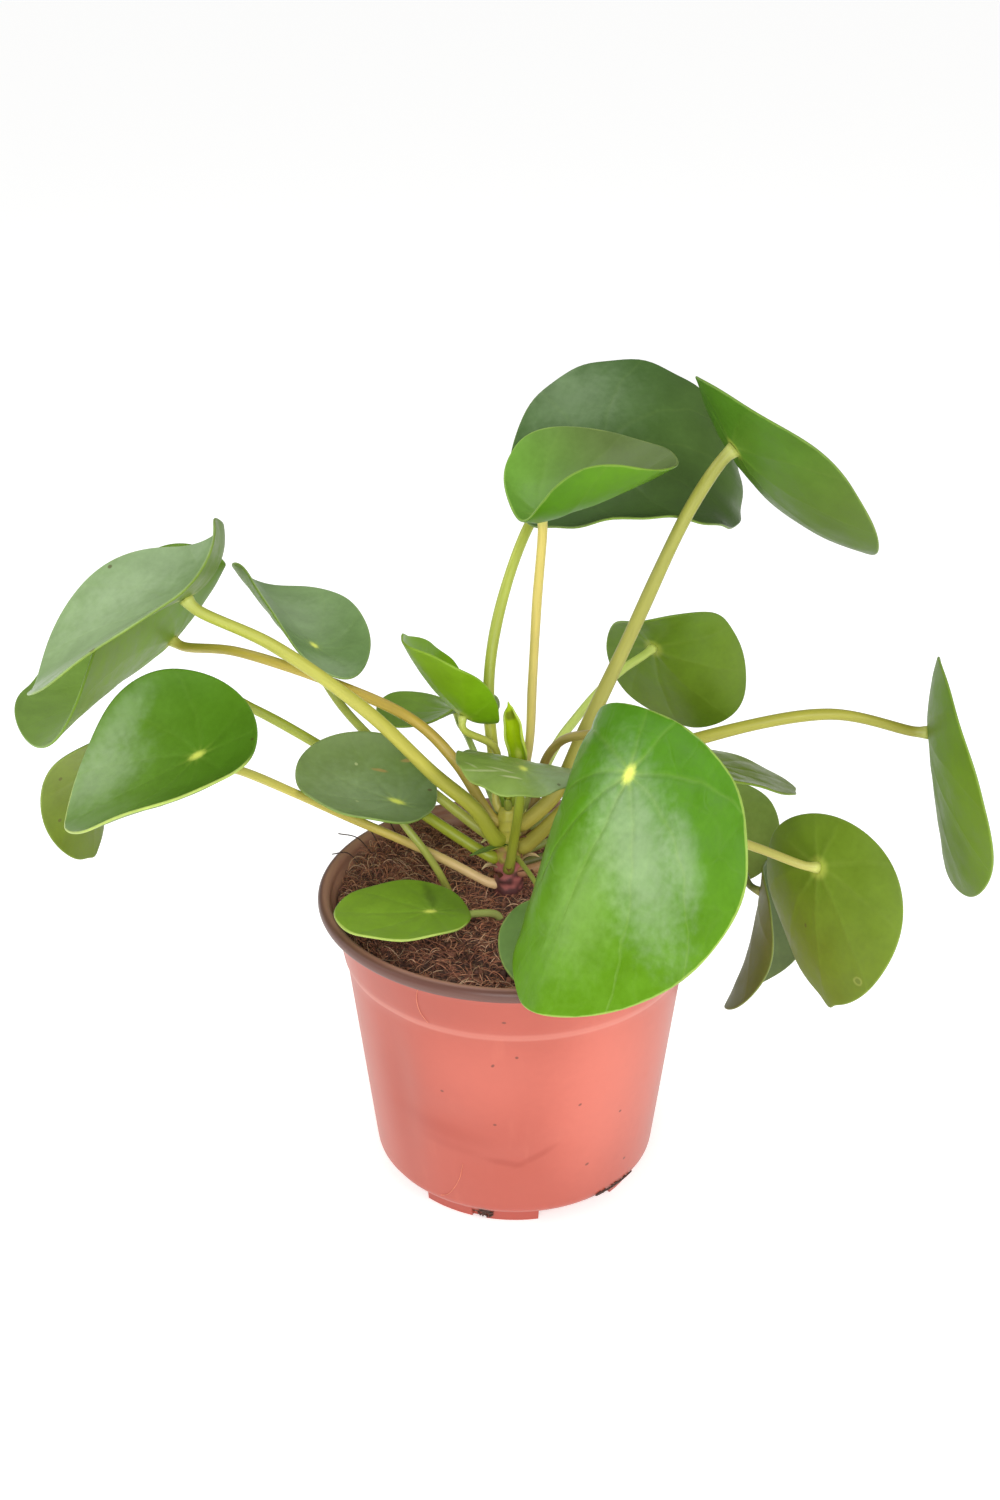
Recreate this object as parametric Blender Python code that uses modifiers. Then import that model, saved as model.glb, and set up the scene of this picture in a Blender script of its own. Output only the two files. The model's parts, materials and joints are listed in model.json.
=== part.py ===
"""Potted pilea: Pilea peperomioides growing in a standard 12 cm plastic nursery pot.

Each round leaf is a blade carried on its own leaf stalk. The stalks spring from a short
stem in the middle of the soil, apart from two that come up through the soil beside it.
+Z is up, -Y is the front, and the origin is on the pot's axis in the plane it stands on.
Lengths are written in millimetres and become metres through MM.
"""
from dataclasses import dataclass
from math import cos, pi, radians, sin

import bmesh
import bpy
from mathutils import Vector

MM = 0.001
GAP = 0.3                 # clearance kept between neighbouring pieces
MERGE = 0.05 * MM

# Pot: a thin formed shell with a rolled rim, a shallow step and a ring of feet
RIM_RADIUS = 60.0
RIM_TOP = 96.0
COLLAR_RADIUS = 55.5      # outside of the wall just under the rim
COLLAR_HEIGHT = 91.7
STEP_RADIUS = 52.0        # outside of the wall where the shallow step begins
STEP_HEIGHT = 75.0
STEP_RISE = 1.5           # height of the step itself
BASE_RADIUS = 44.5        # outside of the wall where it turns in to the floor
BASE_HEIGHT = 9.0
FLOOR_HEIGHT = 4.0        # underside of the raised floor
RING_RADIUS = 40.2        # outside of the standing ring, which the gaps divide into feet
DISC_RADIUS = 25.5        # flat middle of the floor that the pot also stands on
WALL = 0.9
POT_STEPS = 40
FOOT_HEADING = 254.0      # compass heading of the front foot's middle, from +X towards +Y
FOOT_COUNT = 4
FOOT_GAP = (14.0, 26.0, 3.9)     # radial depth, width and height
FOOT_NOTCH = (4.0, 4.5, 3.0)

# Soil: fills the pot to just under the rim
SOIL_TOP = 87.0
SOIL_EDGE_TOP = 85.6
SAME_HEIGHT = 0.1         # points this near the edge's height are on its edge
SOIL_LUMPS = (0.9, 0.6)   # heights of the two waves on its surface
HEAP_HEIGHT = 6.0         # how much higher the soil is heaped against the wall on the left
HEAP_HEADING = 160.0
HEAP_START, HEAP_END = 20.0, 48.0      # distances from the axis where the heap begins and is full
HOLE_ROOM = 0.4           # clearance round what stands in the soil
HOLE_TOP = 93.0

# Stem: the short upright stem that carries nearly every stalk
STEM_AXIS = (-2.0, 11.0)
STEM_TOP = 118.6
STEM_FOOT = 80.0
STEM_WIDEST = 4.9
STEM_PROFILE = ((1.8, 118.2), (3.1, 116.6), (3.7, 113.0), (4.1, 106.0), (4.5, 100.0),
                (STEM_WIDEST, 94.0), (4.8, 88.0), (4.3, STEM_FOOT))
STEM_STEPS = 16

# Blades and stalks
BLADE_THICKNESS = 0.8
SURFACE_STEP = 0.2        # half the span over which a blade's slope is measured
LARGE_BLADE = 45.0        # blades longer than this get the finer grid
LARGE_GRID = (20, (0.35, 0.65, 0.86, 1.0))      # spokes, and rings as shares of the reach
SMALL_GRID = (16, (0.4, 0.75, 1.0))
STALK_STEP = 8.0          # longest stretch of a stalk between two rings
STALK_LEAD = 4.0          # straight run just before the blade
JOINT_GAP = 0.45          # clearance between a stalk's end and its blade
ROOT_LEAD = 2.0           # run square to the stem, just outside it


@dataclass
class Leaf:
    """One leaf. Curls are degrees in each 10 mm, towards the upper side."""
    joint: tuple          # where the stalk meets the blade
    aim: tuple            # heading of the tip, its dip below level, roll about it (degrees)
    size: tuple           # length and width laid flat
    shape: tuple          # joint's distance behind the middle over length, and egg share
    curl: tuple           # towards the tip, the base, the left edge and the right edge
    warp: tuple           # twist (degrees in each 10 mm), turn of the curl directions
    root: tuple           # heading and height on the stem, or x, y, z in the soil
    bends: tuple          # points that the stalk passes through
    thick: tuple          # stalk diameter at its root and at the blade


LEAVES = {
    "left_high_front": Leaf(
        (-92, -10, 193), (-165, 20, 24), (76, 75), (0.16, -0.08), (-3, 33, -1.5, 18), (-1.5, -3),
        (222, 107), ((-12, 5, 119), (-24, 2, 132), (-43, -3, 155), (-69, -8, 178)), (4.8, 3.2)),
    "left_high_rear": Leaf(
        (-109.9, 57.6, 152.9), (-120.6, 10.4, 52), (98.8, 85.6), (0.19, -0.11), (1.8, 34, 7, 11),
        (6.1, 39), (180, 112), ((-18, 15, 130), (-30, 20, 141), (-53, 29, 149), (-86, 40, 156)), (3.6, 3.0)),
    "left_rear": Leaf(
        (-63, 45, 156), (119, -7, 19), (71, 45), (0.19, -0.15), (0, -1, 27, 26), (0.6, -3),
        (160, 105), ((-24, 20, 116), (-36, 26, 124), (-47, 33, 132), (-56, 40, 140)), (3.4, 2.6)),
    "left_middle": Leaf(
        (-90, -20, 149), (-165, 24, -12), (62, 64), (0.18, 0.13), (-1, 9, 14, 21), (-0.4, -17),
        (200, 91), ((-21, 11, 98), (-33, 10, 105), (-52, 9, 115), (-66, 4, 125), (-80, -9, 139)),
        (3.0, 2.6)),
    "left_low": Leaf(
        (-127, 30, 124), (152, 57, 4), (54, 47), (0.21, 0.11), (-10, -8, 13, 16), (-0.1, 12),
        (195, 100), ((-28, 17, 111), (-46, 28, 119), (-62, 36, 126), (-81, 36, 138),
                     (-103, 33, 150), (-114, 28, 137)), (3.6, 2.8)),
    "centre_left": Leaf(
        (-36, 8, 120), (165, -12, 6), (44, 46), (0.24, 0.18), (1, 14, 7, 24), (0.5, 28),
        (-20, 5, 81), ((-20, 5, 88), (-23, 4, 97), (-28, 4, 106)), (2.6, 2.2)),
    "soil_left": Leaf(
        (-25, -25, 101), (-177, 2, 2), (40, 37), (0.20, 0.08), (2, -16, 6, 3), (-0.2, 11),
        (-5, -6, 81), ((-5, -6, 88), (-12, -14, 94)), (2.4, 2.2)),
    "soil_front": Leaf(
        (10, -35, 102), (-110, 33, -7), (29, 28), (0.19, 0.09), (-2, -3, 0, 0), (0, 0),
        (305, 101), ((7, -14, 102),), (1.6, 1.4)),
    "front": Leaf(
        (29, -56, 161), (-141, 54, -5), (86, 92), (0.29, 0.31), (-2, -6, 5, -16), (-3.0, 17),
        (15, 108), ((7, 15, 121), (9, 14, 131), (13, 8, 140), (20, -8, 150), (30, -22, 156),
                    (38, -42, 156)), (2.8, 2.6)),
    "centre": Leaf(
        (2, -10, 140), (104, 1, 9), (40, 37), (0.16, 0.11), (-18, -20, -3, 0), (0.7, -22),
        (270, 98), ((0, 1, 114), (1, -7, 127)), (3.2, 2.6)),
    "young_left": Leaf(
        (-15.8, 12, 147.6), (170, -35, 38), (41.5, 44), (0.23, -0.18), (6.5, 50, 49.5, 22),
        (5.2, 52), (155, 116), ((-6, 16, 134),), (2.4, 2.2)),
    "rear_left": Leaf(
        (-19, 56, 129), (183, 7, 18), (41, 40), (0.14, 0.18), (-4, -17, 21, 16), (-0.5, 47),
        (125, 112), ((-13, 32, 126), (-16, 46, 126)), (2.4, 2.0)),
    "furled": Leaf(
        (1, 15, 133), (175, -79, -90), (19, 9), (0.35, 0.45), (0, 0, 230, 230), (0, 0),
        (0, STEM_TOP), ((-1, 13, 125),), (2.4, 1.8)),
    "top": Leaf(
        (27, 58, 216), (-27, 12, 45), (85, 80), (0.17, 0.07), (-14, -1, -5, 14), (-3.9, 26),
        (90, 110), ((-7, 22, 132), (-8, 28, 153), (-4, 38, 174), (5, 51, 195), (14, 62, 203)),
        (3.8, 3.0)),
    "top_cup": Leaf(
        (7, 9, 211), (14, -14, 7), (50, 56), (0.33, 0.35), (3, 48, 17, 31), (-0.5, -2),
        (62, 116), ((4, 20, 132), (5, 18, 155), (6, 12, 183)), (2.8, 2.8)),
    "top_right": Leaf(
        (61, 12, 229), (-30, 54, -41), (71, 70), (0.18, -0.01), (10, -3, 7, 10), (0.4, 40),
        (335, 112), ((12, 8, 123), (20, 9, 142), (32, 11, 170), (49, 12, 211)), (4.8, 3.6)),
    "right_rear": Leaf(
        (45, 61, 149), (-19, 52, -64), (50, 51), (0.21, 0.10), (4, -32, 0, 32), (-1.3, 23),
        (45, 111), ((13, 28, 130), (19, 36, 135), (27, 45, 141), (35, 53, 145)), (3.2, 2.6)),
    "far_right": Leaf(
        (121, 0, 147), (-82, 66, -67), (72, 70), (0.19, 0.05), (1, 10, 7, 11), (0.3, 37),
        (345, 104), ((17, 7, 120), (37, 6, 135), (55, 5, 143), (92, 2, 152)), (4.8, 3.0)),
    "right_low": Leaf(
        (88, -20, 113), (76, 107, 35), (58, 54), (0.23, 0.09), (4, 8, 13, 15), (-0.3, -33),
        (325, 96), ((14, 7, 101), (32, 1, 112), (53, -7, 119), (70, -15, 117)), (3.2, 2.6)),
    "right_folded": Leaf(
        (81, 33, 74), (53, 98, 76), (54, 46), (0.29, 0.0), (-4, -4, 44, 26), (0.5, 0),
        (10, 97), ((26, 15, 103), (51, 21, 104), (70, 27, 91)), (2.8, 2.4)),
    "right_shaded": Leaf(
        (72, 60, 90), (-83, 34, 12), (37, 32), (0.20, 0.06), (-3, -3, 0, 0), (0, 0),
        (40, 99), ((27, 30, 102), (46, 48, 99), (60, 64, 84)), (2.4, 2.0)),
    "right_level": Leaf(
        (62, 44, 115), (13, 11, -6), (45, 41), (0.21, 0.07), (-6, -3, -2, 5), (0.2, -8),
        (50, 106), ((27, 30, 111), (48, 40, 110)), (2.6, 2.2)),
}

LEAF_GREEN = (0.10, 0.24, 0.03)
YOUNG_GREEN = (0.20, 0.42, 0.03)
STALK_GREEN = (0.50, 0.52, 0.14)
STEM_PINK = (0.38, 0.20, 0.16)
SOIL_BROWN = (0.055, 0.030, 0.020)
POT_CORAL = (0.72, 0.17, 0.11)
YOUNG_LEAVES = ("furled", "top_cup", "young_left", "front")


def clear_scene():
    for item in list(bpy.data.objects):
        bpy.data.objects.remove(item)


def new_collection(name):
    collection = bpy.data.collections.new(name)
    bpy.context.scene.collection.children.link(collection)
    return collection


def material(name, colour, roughness):
    mat = bpy.data.materials.new(name)
    mat.use_nodes = True
    shader = mat.node_tree.nodes["Principled BSDF"]
    shader.inputs["Base Color"].default_value = (*colour, 1.0)
    shader.inputs["Roughness"].default_value = roughness
    return mat


def add_object(name, data, collection, mat=None):
    item = bpy.data.objects.new(name, data)
    collection.objects.link(item)
    if mat:
        data.materials.append(mat)
    return item


def lathe(name, profile, steps, collection, mat=None):
    """Turn a profile of (radius, height) pairs about Z. It runs down its outer side."""
    mesh = bpy.data.meshes.new(name)
    points = [(radius * MM, 0.0, height * MM) for radius, height in profile]
    edges = [(i, i + 1) for i in range(len(points) - 1)]
    mesh.from_pydata(points, edges, [])
    item = add_object(name, mesh, collection, mat)
    screw = item.modifiers.new("turn", "SCREW")
    screw.steps = steps
    screw.render_steps = steps
    screw.use_merge_vertices = True
    screw.merge_threshold = MERGE
    return item


def evaluated_mesh(item):
    """Swap an object's data for its evaluated mesh, with its modifiers applied."""
    depsgraph = bpy.context.evaluated_depsgraph_get()
    mesh = bpy.data.meshes.new_from_object(item.evaluated_get(depsgraph), depsgraph=depsgraph)
    item.modifiers.clear()
    item.data = mesh
    return mesh


def cut(item, cutter, solver="EXACT"):
    boolean = item.modifiers.new("cut " + cutter.name, "BOOLEAN")
    boolean.operation = "DIFFERENCE"
    boolean.solver = solver
    boolean.object = cutter


def hide_cutter(item):
    item.hide_render = True
    item.display_type = "WIRE"


def box_cutter(name, size, middle, heading, collection):
    """A box at a compass heading; size and middle are radial, across and upright."""
    mesh = bpy.data.meshes.new(name)
    form = bmesh.new()
    bmesh.ops.create_cube(form, size=1.0)
    bmesh.ops.scale(form, vec=Vector(size) * MM, verts=form.verts)
    bmesh.ops.translate(form, vec=Vector(middle) * MM, verts=form.verts)
    form.to_mesh(mesh)
    form.free()
    item = add_object(name, mesh, collection)
    item.rotation_euler.z = radians(heading)
    hide_cutter(item)
    return item


def rod_cutter(name, radius, low, high, spot, collection):
    mesh = bpy.data.meshes.new(name)
    form = bmesh.new()
    bmesh.ops.create_cone(form, cap_ends=True, segments=STEM_STEPS, radius1=radius * MM,
                          radius2=radius * MM, depth=(high - low) * MM)
    form.to_mesh(mesh)
    form.free()
    item = add_object(name, mesh, collection)
    item.location = Vector((spot[0], spot[1], (low + high) / 2)) * MM
    hide_cutter(item)
    return item


def wall_inside(height):
    """Inner radius of the pot's wall above the step."""
    low = STEP_HEIGHT + STEP_RISE
    share = (height - low) / (COLLAR_HEIGHT - low)
    return STEP_RADIUS + share * (COLLAR_RADIUS - WALL - STEP_RADIUS)


def cut_feet(pot, cutters):
    """Divide the standing ring into feet, with a small notch in the middle of each."""
    for i in range(FOOT_COUNT):
        heading = FOOT_HEADING + i * 360.0 / FOOT_COUNT
        for name, size, turn in (("gap", FOOT_GAP, 180.0 / FOOT_COUNT), ("notch", FOOT_NOTCH, 0.0)):
            deep, wide, high = size
            box = box_cutter(f"foot_{name}_{i + 1}", (deep, wide, 2 * high),
                             (RING_RADIUS + 0.5, 0.0, 0.0), heading + turn, cutters)
            cut(pot, box)


def make_pot(collection, cutters, mat):
    top, wall = FLOOR_HEIGHT + 1.0, BASE_RADIUS - WALL
    disc, ring, hollow = DISC_RADIUS, RING_RADIUS, RING_RADIUS - 3.4
    inside = [(0, 1.0), (disc - 0.5, 1.0), (disc - 0.2, top - 0.6), (disc + 0.7, top),
              (hollow - 0.4, top), (hollow + 0.6, top - 0.4), (hollow + 1.0, 1.0),
              (ring - 1.0, 1.0), (ring - 0.7, top - 0.2), (ring + 0.4, top + 0.9),
              (wall - 1.1, 6.9), (wall - 0.2, 8.0), (wall, BASE_HEIGHT + 0.2),
              (STEP_RADIUS - WALL, STEP_HEIGHT - 0.1), (STEP_RADIUS, STEP_HEIGHT + STEP_RISE),
              (COLLAR_RADIUS - WALL, COLLAR_HEIGHT)]
    rim = [(56.0, 93.2), (56.3, 94.6), (57.1, 95.7), (58.2, RIM_TOP), (59.3, 95.6),
           (RIM_RADIUS, 94.6), (RIM_RADIUS, 93.2), (59.4, 92.2), (58.4, COLLAR_HEIGHT),
           (56.6, 91.5)]
    outside = [(COLLAR_RADIUS, COLLAR_HEIGHT - 1.1), (STEP_RADIUS + WALL, STEP_HEIGHT + 1.2),
               (STEP_RADIUS, STEP_HEIGHT - 0.5), (BASE_RADIUS, BASE_HEIGHT), (44.3, 7.6),
               (43.2, 6.0), (ring + 1.0, 5.0), (ring + 0.3, 4.2), (ring, 0.5), (ring - 0.5, 0),
               (hollow + 0.5, 0), (hollow, 0.5), (hollow - 0.3, FLOOR_HEIGHT - 0.6),
               (hollow - 0.8, FLOOR_HEIGHT), (disc + 2.0, FLOOR_HEIGHT),
               (disc + 1.0, FLOOR_HEIGHT - 0.6), (disc + 0.5, 0.5), (disc, 0), (0, 0)]
    pot = lathe("pot", inside + rim + outside, POT_STEPS, collection, mat)
    cut_feet(pot, cutters)
    return pot


def soil_lift(x, y):
    """Gentle lumps of the soil's surface, in millimetres."""
    broad, fine = SOIL_LUMPS
    return broad * sin(x / 7.0 + 0.6) * cos(y / 9.0) + fine * sin((x + y) / 5.2)


def soil_heap(x, y):
    """Height of the heap against the wall at the left, in millimetres."""
    heading = radians(HEAP_HEADING)
    away = x * cos(heading) + y * sin(heading)
    share = min(max((away - HEAP_START) / (HEAP_END - HEAP_START), 0.0), 1.0)
    return HEAP_HEIGHT * share * share * (3.0 - 2.0 * share)


def make_soil(collection, cutters, mat):
    """Soil that fills the pot's inside, with lumps on top and holes for what stands in it."""
    floor, disc = FLOOR_HEIGHT + 1.0 + GAP, DISC_RADIUS
    top = [(0, SOIL_TOP), (14, SOIL_TOP), (28, SOIL_TOP - 0.3), (42, SOIL_TOP - 0.8)]
    side = [(wall_inside(SOIL_EDGE_TOP) - GAP, SOIL_EDGE_TOP),
            (STEP_RADIUS - GAP, STEP_HEIGHT + STEP_RISE + 0.1),
            (STEP_RADIUS - WALL - GAP, STEP_HEIGHT), (BASE_RADIUS - WALL - GAP, BASE_HEIGHT + GAP)]
    bottom = [(43.1, 8.3), (42.3, 7.25), (40.3, 6.2), (RING_RADIUS - 1.0, floor),
              (disc + 0.7, floor), (disc - 0.6, floor - 0.6), (disc - 0.9, 1.3), (0, 1.3)]
    soil = lathe("soil", top + side + bottom, POT_STEPS, collection, mat)
    mesh = evaluated_mesh(soil)
    for vertex in mesh.vertices:
        x, y, z = vertex.co / MM
        if z > SOIL_EDGE_TOP + SAME_HEIGHT:
            vertex.co.z += (soil_lift(x, y) + soil_heap(x, y)) * MM
        elif z > SOIL_EDGE_TOP - SAME_HEIGHT:
            height = z + soil_heap(x, y)
            spread = (wall_inside(height) - GAP) / (wall_inside(z) - GAP)
            vertex.co = Vector((x * spread, y * spread, height)) * MM
    cut(soil, rod_cutter("stem_hole", STEM_WIDEST + HOLE_ROOM, STEM_FOOT - GAP, HOLE_TOP,
                         STEM_AXIS, cutters))
    for name, leaf in LEAVES.items():
        if len(leaf.root) == 3:
            cut(soil, rod_cutter("hole_" + name, leaf.thick[0] / 2 + HOLE_ROOM,
                                 leaf.root[2] - GAP, HOLE_TOP, leaf.root, cutters))
    return soil


def make_stem(collection, mat):
    stem = lathe("stem", ((0, STEM_TOP),) + STEM_PROFILE + ((0, STEM_FOOT),), STEM_STEPS,
                 collection, mat)
    stem.location = Vector((*STEM_AXIS, 0.0)) * MM
    return stem


def stem_radius(height):
    """Radius of the stem at a height, read along its profile."""
    for (r_high, high), (r_low, low) in zip(STEM_PROFILE, STEM_PROFILE[1:]):
        if low <= height <= high:
            return r_low + (r_high - r_low) * (height - low) / (high - low)
    return 0.0


def leaf_axes(leaf):
    """Directions of the tip, the left edge and the upper side."""
    heading, dip, roll = (radians(angle) for angle in leaf.aim)
    tip = Vector((cos(heading) * cos(dip), sin(heading) * cos(dip), -sin(dip)))
    level_left = Vector((-sin(heading), cos(heading), 0.0))
    left = level_left * cos(roll) + tip.cross(level_left) * sin(roll)
    return tip, left, tip.cross(left)


def arc(length, bend):
    """End of an arc that starts level: how far along and how high it ends."""
    if abs(bend) < 1e-6:
        return length, 0.0
    return sin(bend * length) / bend, (1 - cos(bend * length)) / bend


def curled(leaf, u, v):
    """Point of the curled middle surface, from its place on the blade laid flat."""
    tip, base, left, right = (radians(bend) / 10 for bend in leaf.curl)
    turn = radians(leaf.warp[1])
    a = u * cos(turn) + v * sin(turn)
    b = v * cos(turn) - u * sin(turn)
    x, rise_a = arc(a, tip if a > 0 else base)
    y, rise_b = arc(b, left if b > 0 else right)
    lift = rise_a + rise_b + radians(leaf.warp[0]) / 10 * a * b
    return Vector((x * cos(turn) - y * sin(turn), x * sin(turn) + y * cos(turn), lift))


def outline(leaf, angle):
    """Edge of the blade laid flat, measured from the stalk's joint."""
    length, width = leaf.size
    offset, egg = leaf.shape
    return (length * (offset + cos(angle) / 2), width / 2 * sin(angle) * (1 - egg * cos(angle)))


def blade_spot(leaf, share, angle, side):
    """World point at a share of the way from joint to edge; side is +1 above, -1 below."""
    u, v = (share * reach for reach in outline(leaf, angle))
    along = curled(leaf, u + SURFACE_STEP, v) - curled(leaf, u - SURFACE_STEP, v)
    across = curled(leaf, u, v + SURFACE_STEP) - curled(leaf, u, v - SURFACE_STEP)
    local = curled(leaf, u, v) + along.cross(across).normalized() * side * BLADE_THICKNESS / 2
    tip, left, up = leaf_axes(leaf)
    return (Vector(leaf.joint) + tip * local.x + left * local.y + up * local.z) * MM


def make_blade(name, leaf, collection, mat):
    """A blade as rings of points round the joint, with the same triangles on both faces."""
    spokes, shares = LARGE_GRID if leaf.size[0] > LARGE_BLADE else SMALL_GRID
    form = bmesh.new()
    faces = {}
    for side in (1, -1):
        middle = form.verts.new(blade_spot(leaf, 0.0, 0.0, side))
        rings = [[form.verts.new(blade_spot(leaf, share, 2 * pi * k / spokes, side))
                  for k in range(spokes)] for share in shares]
        faces[side] = (middle, rings)
    for side, (middle, rings) in faces.items():
        for k in range(spokes):
            nxt = (k + 1) % spokes
            triangles = [(middle, rings[0][k], rings[0][nxt])]
            for inner, outer in zip(rings, rings[1:]):
                triangles.append((inner[k], outer[k], outer[nxt]))
                triangles.append((inner[k], outer[nxt], inner[nxt]))
            for triangle in triangles:
                form.faces.new(triangle if side > 0 else triangle[::-1])
    upper_edge = faces[1][1][-1]
    lower_edge = faces[-1][1][-1]
    for k in range(spokes):
        nxt = (k + 1) % spokes
        form.faces.new((upper_edge[k], lower_edge[k], lower_edge[nxt]))
        form.faces.new((upper_edge[k], lower_edge[nxt], upper_edge[nxt]))
    mesh = bpy.data.meshes.new(name)
    form.to_mesh(mesh)
    form.free()
    mesh.shade_smooth()
    return add_object(name, mesh, collection, mat)


def smooth_route(points, step):
    """Points along a centripetal Catmull-Rom curve through the given points."""
    ends = [points[0] * 2 - points[1]] + points + [points[-1] * 2 - points[-2]]
    route = [points[0]]
    for p0, p1, p2, p3 in zip(ends, ends[1:], ends[2:], ends[3:]):
        t0 = 0.0
        t1 = t0 + (p1 - p0).length ** 0.5
        t2 = t1 + (p2 - p1).length ** 0.5
        t3 = t2 + (p3 - p2).length ** 0.5
        count = max(1, round((p2 - p1).length / step))
        for i in range(1, count + 1):
            t = t1 + (t2 - t1) * i / count
            a1 = p0.lerp(p1, (t - t0) / (t1 - t0))
            a2 = p1.lerp(p2, (t - t1) / (t2 - t1))
            a3 = p2.lerp(p3, (t - t2) / (t3 - t2))
            b1 = a1.lerp(a2, (t - t0) / (t2 - t0))
            b2 = a2.lerp(a3, (t - t1) / (t3 - t1))
            route.append(b1.lerp(b2, (t - t1) / (t2 - t1)))
    return route


def stalk_root(leaf):
    """First points of a stalk: square to the stem's side, or straight up out of the soil."""
    if len(leaf.root) == 3:
        return [Vector(leaf.root)]
    heading, height = leaf.root
    axis = Vector((*STEM_AXIS, height))
    if height >= STEM_TOP:
        return [axis + Vector((0, 0, GAP)), axis + Vector((0, 0, GAP + ROOT_LEAD))]
    out = Vector((cos(radians(heading)), sin(radians(heading)), 0.0))
    start = axis + out * (stem_radius(height - leaf.thick[0] / 2) + GAP)
    return [start, start + out * ROOT_LEAD]


def stalk_end(leaf):
    """Last points of a stalk, which turns halfway towards square before it meets the blade."""
    joint = Vector(leaf.joint)
    under = -leaf_axes(leaf)[2]
    incoming = (Vector(leaf.bends[-1]) - joint).normalized()
    lead = (under + incoming).normalized()
    slant = lead.cross(under).length
    clear = BLADE_THICKNESS / 2 + JOINT_GAP + leaf.thick[1] / 2 * slant
    end = joint + lead * (clear / lead.dot(under))
    return [end + lead * STALK_LEAD, end]


def make_stalk(name, leaf, collection, mat):
    """A leaf stalk as a tapering tube from its root to just under the blade."""
    guides = stalk_root(leaf) + [Vector(bend) for bend in leaf.bends] + stalk_end(leaf)
    route = smooth_route(guides, STALK_STEP)
    curve = bpy.data.curves.new(name, "CURVE")
    curve.dimensions = "3D"
    curve.bevel_depth = MM
    curve.bevel_resolution = 1
    curve.use_fill_caps = True
    curve.render_resolution_u = 0
    spline = curve.splines.new("POLY")
    spline.points.add(len(route) - 1)
    for i, spot in enumerate(route):
        share = i / (len(route) - 1)
        spline.points[i].co = (*(spot * MM), 1.0)
        spline.points[i].radius = (leaf.thick[0] + (leaf.thick[1] - leaf.thick[0]) * share) / 2
    return add_object(name, curve, collection, mat)


def main():
    clear_scene()
    plant = new_collection("potted_pilea")
    cutters = new_collection("cutters")
    leaf_mat = material("leaf", LEAF_GREEN, 0.35)
    young_mat = material("young leaf", YOUNG_GREEN, 0.3)
    stalk_mat = material("leaf stalk", STALK_GREEN, 0.45)
    make_pot(plant, cutters, material("coral plastic", POT_CORAL, 0.4))
    make_soil(plant, cutters, material("potting soil", SOIL_BROWN, 0.95))
    make_stem(plant, material("stem", STEM_PINK, 0.6))
    for name, leaf in LEAVES.items():
        make_blade("blade_" + name, leaf, plant, young_mat if name in YOUNG_LEAVES else leaf_mat)
        make_stalk("stalk_" + name, leaf, plant, stalk_mat)


main()
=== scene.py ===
# %% [markdown]
# # A potted pilea
# The real object is a young pilea, a houseplant with round fleshy leaves on long stalks, in
# the thin plastic pot that a nursery grows it in. This lesson dresses its plain solids:
# each one is replaced by a finer piece that keeps its form, place and size.
# The solids come in as a fixed frame, in metres. Leaves and pots are measured in millimetres,
# so lengths below are in millimetres, and MM turns them into metres.

import json
from dataclasses import dataclass
from math import cos, pi, radians, sin

import bmesh
import bpy
import numpy as np
from mathutils import Matrix, Vector, noise

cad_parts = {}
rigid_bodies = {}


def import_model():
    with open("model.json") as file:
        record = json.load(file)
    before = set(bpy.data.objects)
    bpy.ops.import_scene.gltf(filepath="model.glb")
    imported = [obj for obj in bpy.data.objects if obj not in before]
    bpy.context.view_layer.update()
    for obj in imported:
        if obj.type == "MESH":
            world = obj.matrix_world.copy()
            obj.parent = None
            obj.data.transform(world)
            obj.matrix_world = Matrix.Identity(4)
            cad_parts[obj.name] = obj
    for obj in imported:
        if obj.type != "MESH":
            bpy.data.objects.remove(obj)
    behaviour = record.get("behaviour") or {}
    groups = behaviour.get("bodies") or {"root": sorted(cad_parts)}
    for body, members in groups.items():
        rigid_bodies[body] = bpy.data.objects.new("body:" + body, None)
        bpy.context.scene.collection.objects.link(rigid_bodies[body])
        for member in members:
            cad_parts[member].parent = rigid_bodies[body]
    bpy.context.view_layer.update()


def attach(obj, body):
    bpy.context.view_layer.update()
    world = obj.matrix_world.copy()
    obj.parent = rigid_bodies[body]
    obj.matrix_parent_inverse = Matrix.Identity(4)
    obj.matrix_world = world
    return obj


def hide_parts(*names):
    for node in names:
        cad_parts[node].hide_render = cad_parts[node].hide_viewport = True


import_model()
MM = 0.001
scene = bpy.context.scene

# %% [markdown]
# ## Camera
# The photograph was taken from a little above the plant. The place and the lens were worked
# out from the ellipses of the pot's rim, step and base, whose real sizes are known. A
# tracking quaternion turns the camera to look along a direction, which is easier to get
# right than three separate angles.

# %% Camera
CAMERA_SPOT = (-4.7, -477.5, 369.1)
CAMERA_LOOK = (0.0, 0.9026, -0.4305)
CAMERA_LENS = 43.2

lens = bpy.data.cameras.new("camera")
lens.lens = CAMERA_LENS
camera = bpy.data.objects.new("camera", lens)
camera.location = Vector(CAMERA_SPOT) * MM
camera.rotation_euler = Vector(CAMERA_LOOK).to_track_quat("-Z", "Y").to_euler()
scene.collection.objects.link(camera)
scene.camera = camera
print("camera at", CAMERA_SPOT)

# %% [markdown]
# ## Studio
# The plant stands in a bright, almost shadowless studio. A white world gives the even light,
# one broad lamp in front and to the right models the pot, a second one fills in from the
# front, and a large panel on the left lays the sheen on leaves and plastic. A lamp above and
# behind lights the tops. Polished things would mirror an all-white room and turn
# milky, as they do in a light tent, so the world is dimmer in reflections than it is to the
# eye. A standard view transform keeps white white, where a filmic one would turn it grey and
# wash out the greens. The floor is one wide pale disc that glows a little, like a lit table,
# so it stays white far away and its edge never shows.

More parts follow.
